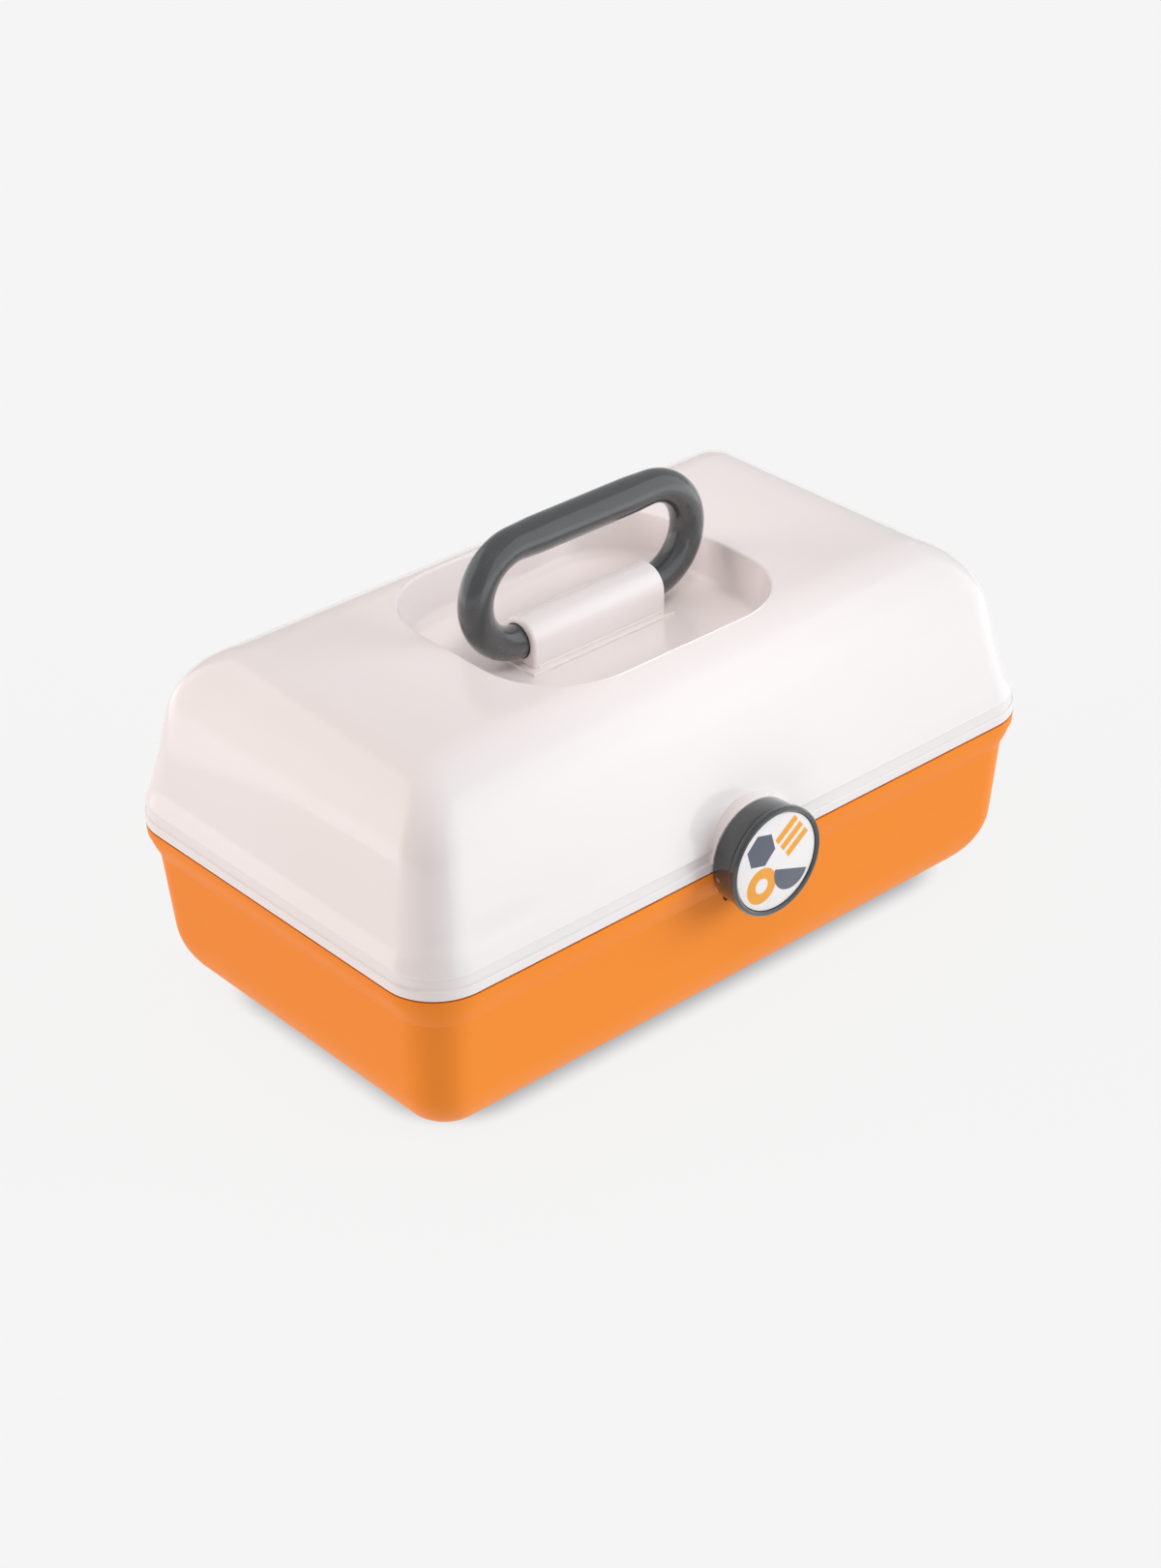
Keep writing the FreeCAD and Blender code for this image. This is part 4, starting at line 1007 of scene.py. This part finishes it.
def cup_profile():
    """(radius, depth from the back) round the section, from the back's outer edge."""
    floor = FACE_DEPTH - FACE_THICK
    points = [(CUP_RADIUS - 2 * MM, 0), (CUP_RADIUS, 0), (CUP_RADIUS + 0.2 * MM, CUP_DEPTH - 0.5 * MM),
              (CUP_RADIUS - 0.5 * MM, CUP_DEPTH - 0.3 * MM), (CUP_RADIUS - 0.5 * MM, CUP_DEPTH + 0.2 * MM),
              (BEZEL_RADIUS, CUP_DEPTH + 0.4 * MM), (BEZEL_RADIUS, CUP_FRONT - 0.7 * MM),
              (BEZEL_RADIUS - 1.0 * MM, CUP_FRONT), (FACE_RADIUS + 0.5 * MM, CUP_FRONT - 0.2 * MM),
              (FACE_RADIUS, CUP_FRONT - 0.9 * MM), (FACE_RADIUS, floor),
              (0, floor), (0, floor - 1.6 * MM), (CUP_RADIUS - 2 * MM, floor - 1.6 * MM),
              (CUP_RADIUS - 2 * MM, 0)]
    radii = [0.4 * MM, 0.3 * MM, 0.2 * MM, 0.2 * MM, 0.35 * MM, 1.0 * MM, 1.2 * MM, 0.6 * MM, 0.3 * MM,
             0.1 * MM, 0, 0, 0.4 * MM]
    return rounded_profile(points, radii, 4)


def make_cup():
    bm = bmesh.new()
    profile = cup_profile()
    verts = []
    for radius, depth in profile[:-1]:
        verts.append(bm.verts.new((radius, CUP_BACK - depth, LATCH_Z)))
    edges = [bm.edges.new(pair) for pair in zip(verts, verts[1:] + verts[:1])]
    bmesh.ops.spin(bm, geom=verts + edges, cent=(0, CUP_BACK, LATCH_Z), axis=Y_AXIS, angle=2 * math.pi,
                   steps=128, use_merge=True, use_duplicate=False)
    bmesh.ops.remove_doubles(bm, verts=bm.verts, dist=MERGE)
    away = Vector((0, math.cos(LATCH_SWING), -math.sin(LATCH_SWING)))
    cut = bmesh.ops.bisect_plane(bm, geom=bm.verts[:] + bm.edges[:] + bm.faces[:],
                                 plane_co=LATCH_AXIS + away * SKIRT_GAP, plane_no=away, clear_outer=True)
    bmesh.ops.triangle_fill(bm, use_beauty=True, use_dissolve=False,
                            edges=only(cut["geom_cut"], bmesh.types.BMEdge))
    piece = make_piece(bm, "latch_knob", "latch", slate, "latch_cup")
    holes = bmesh.new()
    add_barrel(holes, CATCH_HOLE, 2 * SLOT_HALF.x, CATCH_AXIS, 0.1 * MM, segments=32)
    cut_away(piece, holes)
    slots = bmesh.new()
    add_block(slots, LATCH_AXIS - SLOT_HALF, LATCH_AXIS + SLOT_HALF, 0.9 * MM)
    cut_away(piece, slots)


make_cup()

# %% [markdown]
# ## The printed face
# The face of the latch is a white disc with a flat print in amber and ink. The print is worked
# out from distances: a point is inside a ring when its distance from the ring's middle line is
# under half the ring's width, and inside a hexagon when it is near enough to all three of its
# axes. Every shape is one such sum, so its edge stays crisp at any size of picture.

# %% The print
AMBER = (0.90, 0.35, 0.008, 1)
INK = (0.085, 0.096, 0.135, 1)
PAPER = (0.90, 0.815, 0.80, 1)
PRINT_EDGE = 0.06 * MM


class Print:
    """Distances in the plane of the disc, from a point and a turn of its own."""

    def __init__(self, finish, x, z, turn=0.0):
        across = finish.along("X") - x * MM
        up = finish.along("Z") - (LATCH_Z + z * MM)
        angle = math.radians(turn)
        self.finish = finish
        self.u = across * math.cos(angle) + up * math.sin(angle)
        self.v = up * math.cos(angle) - across * math.sin(angle)

    def inside(self, distance):
        return 1 - self.finish.step(distance, -PRINT_EDGE, PRINT_EDGE)

    def reach(self):
        return (self.u * self.u + self.v * self.v).math("SQRT")

    def ring(self, radius, width):
        return self.inside((self.reach() - radius * MM).size() - width * MM / 2)

    def hexagon(self, flat):
        distance = self.u.size()
        for angle in (60, 120):
            turn = math.radians(angle)
            distance = distance.larger((self.u * math.cos(turn) + self.v * math.sin(turn)).size())
        return self.inside(distance - flat * MM)

    def half_disc(self, radius):
        return self.inside((self.reach() - radius * MM).larger(self.v * -1))

    def bars(self, length, width, pitch):
        """Three bars side by side."""
        wrapped = self.v.math("WRAP", pitch * MM / 2, -pitch * MM / 2).size()
        inside_stack = self.v.size() - 1.5 * pitch * MM
        distance = (wrapped - width * MM / 2).larger(self.u.size() - length * MM / 2)
        return self.inside(distance.larger(inside_stack))


def printed_face():
    finish = Finish("printed_face", coat_weight=0.4, coat_roughness=0.06, ior=1.49)
    amber = Print(finish, -8.2, -8.2).ring(5.8, 4.8)
    amber = amber.larger(Print(finish, 8.6, 8.8, 35).bars(13.4, 3.3, 5.0))
    ink = Print(finish, -8.4, 8.6, 15).hexagon(7.0)
    ink = ink.larger(Print(finish, 8.3, -6.8, 160).half_disc(9.4))
    colour = finish.mix(ink, finish.mix(amber, PAPER, AMBER), INK)
    finish.set("Base Color", colour)
    haze = finish.noise(90.0, detail=3.0)
    finish.set("Roughness", 0.24 + haze * 0.08)
    finish.bump(amber.larger(ink), 0.15, 0.02 * MM)
    return finish.material


def make_face():
    bm = bmesh.new()
    centre = (0, CUP_BACK - FACE_DEPTH + FACE_THICK / 2, LATCH_Z)
    add_barrel(bm, FACE_RADIUS - 0.3 * MM, FACE_THICK, centre, 0.25 * MM, "Y", 128)
    make_piece(bm, "latch_face", "latch", printed_face(), "latch_insert")


make_face()

# %% [markdown]
# ## Screws
# Two pan-head screws hold the saddle from below and four countersunk ones hold the brackets.
# Seen with the lid open they need their cross recess, which is two crossed slots taken out of
# the head.

# %% Screws
SCREW_RADIUS = 1.4 * MM
SCREW_HEAD = 2.8 * MM
RECESS_WIDTH = 0.7 * MM
RECESS_LENGTH = 3.0 * MM
RECESS_DEPTH = 0.9 * MM
SADDLE_SCREW_X = 6 * MM
SADDLE_SCREW_LENGTH = 8 * MM
BRACKET_SCREW_X = 150.6 * MM
BRACKET_SCREW_STEP = 4 * MM


def screw_mesh(profile, matrix):
    """A turned screw along its own +Z, head at 0, with a cross in the head."""
    bm = bmesh.new()
    verts = [bm.verts.new((radius, 0, z)) for radius, z in profile]
    edges = [bm.edges.new(pair) for pair in zip(verts, verts[1:])]
    bmesh.ops.spin(bm, geom=verts + edges, cent=(0, 0, 0), axis=(0, 0, 1), angle=2 * math.pi, steps=40,
                   use_merge=True, use_duplicate=False)
    heal(bm)
    screw = add_object("screw", to_mesh(bm, "screw"))
    for half_x, half_y in ((RECESS_WIDTH / 2, RECESS_LENGTH / 2), (RECESS_LENGTH / 2, RECESS_WIDTH / 2)):
        cross = bmesh.new()
        add_block(cross, (-half_x, -half_y, -1 * MM), (half_x, half_y, RECESS_DEPTH), 0.05 * MM)
        cut_away(screw, cross)
    made = screw.data
    bpy.data.objects.remove(screw)
    made.transform(matrix)
    return made


def make_screws(name, profile, matrices, node):
    bm = bmesh.new()
    for matrix in matrices:
        mesh = screw_mesh(profile, matrix)
        bm.from_mesh(mesh)
        bpy.data.meshes.remove(mesh)
    make_piece(bm, name, "lid", bright_steel, node)


def saddle_screws():
    head_z = WELL_FLOOR - WALL - SCREW_RADIUS
    profile = [(0, 0), (SCREW_HEAD * 0.7, 0), (SCREW_HEAD * 0.95, 0.45 * MM), (SCREW_HEAD, SCREW_RADIUS),
               (SCREW_RADIUS, SCREW_RADIUS), (SCREW_RADIUS, SADDLE_SCREW_LENGTH),
               (0, SADDLE_SCREW_LENGTH)]
    places = [Matrix.Translation((side * SADDLE_SCREW_X, 0, head_z)) for side in (-1, 1)]
    make_screws("saddle_screw_pair", profile, places, "saddle_screws")


def bracket_screws():
    low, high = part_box("bracket_screws")
    depth = SCREW_HEAD - SCREW_RADIUS
    length = high.x - BRACKET_SCREW_X
    profile = [(0, 0), (SCREW_HEAD, 0), (SCREW_RADIUS, depth), (SCREW_RADIUS, length), (0, length)]
    places = []
    for side in (-1, 1):
        turn = Matrix.Rotation(math.radians(90 * side), 4, "Y")
        for y in (CRANK_Y - BRACKET_SCREW_STEP, CRANK_Y + BRACKET_SCREW_STEP):
            spot = (side * BRACKET_SCREW_X, y, (low.z + high.z) / 2)
            places.append(Matrix.Translation(spot) @ turn)
    make_screws("bracket_screw_set", profile, places, "bracket_screws")


saddle_screws()
bracket_screws()

# %% [markdown]
# ## Inside the case
# Tray, dividers, links, brackets and mirror frame already have their true shape, only their
# edges are razor sharp. A copy of each mesh is merged, its flat faces are joined, and a Bevel
# modifier rounds the edges as a mould would.


# %% Softened copies of the inner pieces
def soft_copy(node, body, material, slot, width):
    """A node's own shape with soft edges."""
    bm = bmesh.new()
    bm.from_mesh(NODES[node].data)
    bmesh.ops.remove_doubles(bm, verts=bm.verts, dist=MERGE)
    bmesh.ops.dissolve_limit(bm, angle_limit=math.radians(1), verts=bm.verts, edges=bm.edges,
                             use_dissolve_boundaries=False)
    piece = make_piece(bm, "soft_" + node, body, material, node)
    bevel = piece.modifiers.new("soft_edges", "BEVEL")
    bevel.width = width
    bevel.segments = 2
    bevel.limit_method = "ANGLE"
    bevel.angle_limit = math.radians(40)
    bevel.harden_normals = True


SOFT_COPIES = [
    ("tray", "tray", milky, "tray_plastic", 0.4 * MM),
    ("tray_dividers", "tray", milky, "tray_plastic", 0.25 * MM),
    ("arm_left", "arms", slate, "slate_plastic", 0.35 * MM),
    ("arm_right", "arms", slate, "slate_plastic", 0.35 * MM),
    ("tray_bracket_left", "lid", slate, "slate_plastic", 0.35 * MM),
    ("tray_bracket_right", "lid", slate, "slate_plastic", 0.35 * MM),
    ("mirror_frame", "mirror", slate, "slate_plastic", 0.4 * MM),
    ("mirror_glass", "mirror", silver, "mirror_silver", 0.2 * MM),
]
for copy_of in SOFT_COPIES:
    soft_copy(*copy_of)

# %% [markdown]
# The pins are plain bars and keep their own meshes. They only get their steel.

# %% Pins
BRIGHT_PINS = ["hinge_pins", "arm_pivot_pins", "tray_arm_pins", "tray_lid_pins", "mirror_pins",
               "latch_catch_pin"]
for node in BRIGHT_PINS + ["latch_pivot_pin"]:
    for socket in NODES[node].material_slots:
        socket.material = bright_steel if node in BRIGHT_PINS else dark_steel
print("pins in bright steel:", len(BRIGHT_PINS), "in dark steel: 1")

# %% [markdown]
# ## Floor and light
# A pale floor fills the picture, a hair below the case. It glows by itself, as a lit table of
# milky glass does, so that the orange hardly tints it. A narrow shadow close round the foot of
# the case is painted into that glow: the nearer a point lies to the outline on which the case
# rests, the darker the painted shadow.
#
# Three soft suns light the case without being mirrored. The widest stands overhead and reaches
# down into the handle well. Two stand low and wide apart, to the right of the front and behind
# the left end, so that the corner between those faces turns away from both and reads as a
# slightly darker stripe. A soft spot from the front left fills the well. Two large cards stand
# close to the case and are only mirrored, which draws the long highlights. The sky has a level
# of its own for each kind of ray: bright where it is seen, about half of that where it is
# mirrored, and low as a source of light.

# %% Floor
FLOOR_HALF = 6.0
FLOOR_DROP = 0.2 * MM
FLOOR_SHADE = 0.05
FLOOR_GLOW = 0.865
# The outline on which the case rests, and the painted shadow round it
REST_HALF = (131 * MM, 60.5 * MM)
REST_CORNER = 16 * MM
PAINTED_SHADOW_DEPTH = 0.6
PAINTED_SHADOW_REACH = 26 * MM
PAINTED_SHADOW_CORE = 9 * MM
PAINTED_SHADOW_COLOUR = (0.02, 0.04, 0.06, 1)


def make_floor():
    bm = bmesh.new()
    bmesh.ops.create_grid(bm, x_segments=1, y_segments=1, size=FLOOR_HALF,
                          matrix=Matrix.Translation((0, 0, -FLOOR_DROP)))
    mesh = to_mesh(bm, "floor")
    finish = Finish("floor", roughness=0.9, specular_ior_level=0.0)
    finish.set("Base Color", (FLOOR_SHADE, FLOOR_SHADE, FLOOR_SHADE, 1))
    over = []
    for axis in (0, 1):
        over.append((finish.along(axis).size() - (REST_HALF[axis] - REST_CORNER)).larger(0.0))
    away = (over[0] * over[0] + over[1] * over[1]).math("SQRT") - REST_CORNER
    # Painted shadow: the glow darkens to a cool grey, fully within 9 mm of the resting outline and fading
    # out by 26 mm
    painted_shadow = (1 - finish.step(away, PAINTED_SHADOW_CORE, PAINTED_SHADOW_REACH)) * PAINTED_SHADOW_DEPTH
    glow = finish.mix(painted_shadow, (FLOOR_GLOW, FLOOR_GLOW, FLOOR_GLOW, 1), PAINTED_SHADOW_COLOUR)
    finish.set("Emission Color", glow)
    finish.set("Emission Strength", 1.0)
    mesh.materials.append(finish.material)
    add_object("floor", mesh)


# %% Light
SKY = {"Is Camera Ray": 0.91, "Is Glossy Ray": 0.5, "Is Diffuse Ray": 0.26}
SUNS = [
    ("sun_right", -44, 14, 40, 1.98, (0.86, 1.03, 1.10)),
    ("sun_left", 142, 14, 40, 1.38, (1.0, 0.94, 0.90)),
    ("sun_above", 0, 88, 80, 1.3, (1.0, 0.98, 0.98)),
]
CARDS = [
    ("card_left", (-0.36, 0.40, 0.36), (0, 0, 0.36), (0.7, 0.7), 0.6),
    ("card_front", (0.19, -0.37, 0.36), (0, -0.1, 0.36), (1.0, 0.7), 0.62),
]
SKY_COLOUR = (1.0, 0.985, 0.98, 1)
FILL_PLACE = (-0.14, -0.20, 0.58)
FILL_TARGET = (0.012, 0.016, 0.19)
FILL_POWER = 8.0
FILL_CONE = math.radians(22.5)
FILL_BLEND = 0.9
FILL_SOFT = 0.14
FILL_COLOUR = (1.0, 0.99, 0.98)


def add_lamp(name, lamp, place, target=(0, 0, 0)):
    """A lamp that stands at a place and shines towards a target."""
    holder = add_object(name, lamp)
    turn = (Vector(place) - Vector(target)).to_track_quat("Z", "Y").to_matrix().to_4x4()
    holder.matrix_world = Matrix.Translation(place) @ turn
    return holder


def make_sky():
    """A world whose level depends on the kind of ray that meets it."""
    world = bpy.data.worlds.new("studio")
    world.use_nodes = True
    nodes = Nodes(world.node_tree)
    back = world.node_tree.nodes["Background"]
    levels = [nodes.add("ShaderNodeLightPath", out=ray) * level for ray, level in SKY.items()]
    nodes.feed(back.inputs["Color"], SKY_COLOUR)
    nodes.feed(back.inputs["Strength"], sum(levels))
    bpy.context.scene.world = world


def make_lamps():
    """Suns by compass and height in degrees, cards and the spot by place and target in metres."""
    for name, compass, height, width, strength, colour in SUNS:
        lamp = bpy.data.lights.new(name, "SUN")
        lamp.energy = strength
        lamp.angle = math.radians(width)
        lamp.color = colour
        around = math.radians(compass)
        upwards = math.radians(height)
        reach = math.cos(upwards)
        place = (math.cos(around) * reach, math.sin(around) * reach, math.sin(upwards))
        add_lamp(name, lamp, place).visible_glossy = False
    for name, place, target, size, strength in CARDS:
        card = bpy.data.lights.new(name, "AREA")
        card.shape = "RECTANGLE"
        card.size, card.size_y = size
        card.energy = strength * size[0] * size[1] * math.pi
        panel = add_lamp(name, card, place, target)
        panel.visible_diffuse = False
        panel.visible_camera = False
    fill = bpy.data.lights.new("well_fill", "SPOT")
    fill.energy = FILL_POWER
    fill.spot_size = FILL_CONE
    fill.spot_blend = FILL_BLEND
    fill.shadow_soft_size = FILL_SOFT
    fill.color = FILL_COLOUR
    add_lamp("well_fill", fill, FILL_PLACE, FILL_TARGET).visible_glossy = False


make_floor()
make_sky()
make_lamps()
bpy.context.scene.view_settings.view_transform = "Standard"
bpy.context.scene.view_settings.look = "None"
print("suns:", len(SUNS), "cards:", len(CARDS), "and one spot")
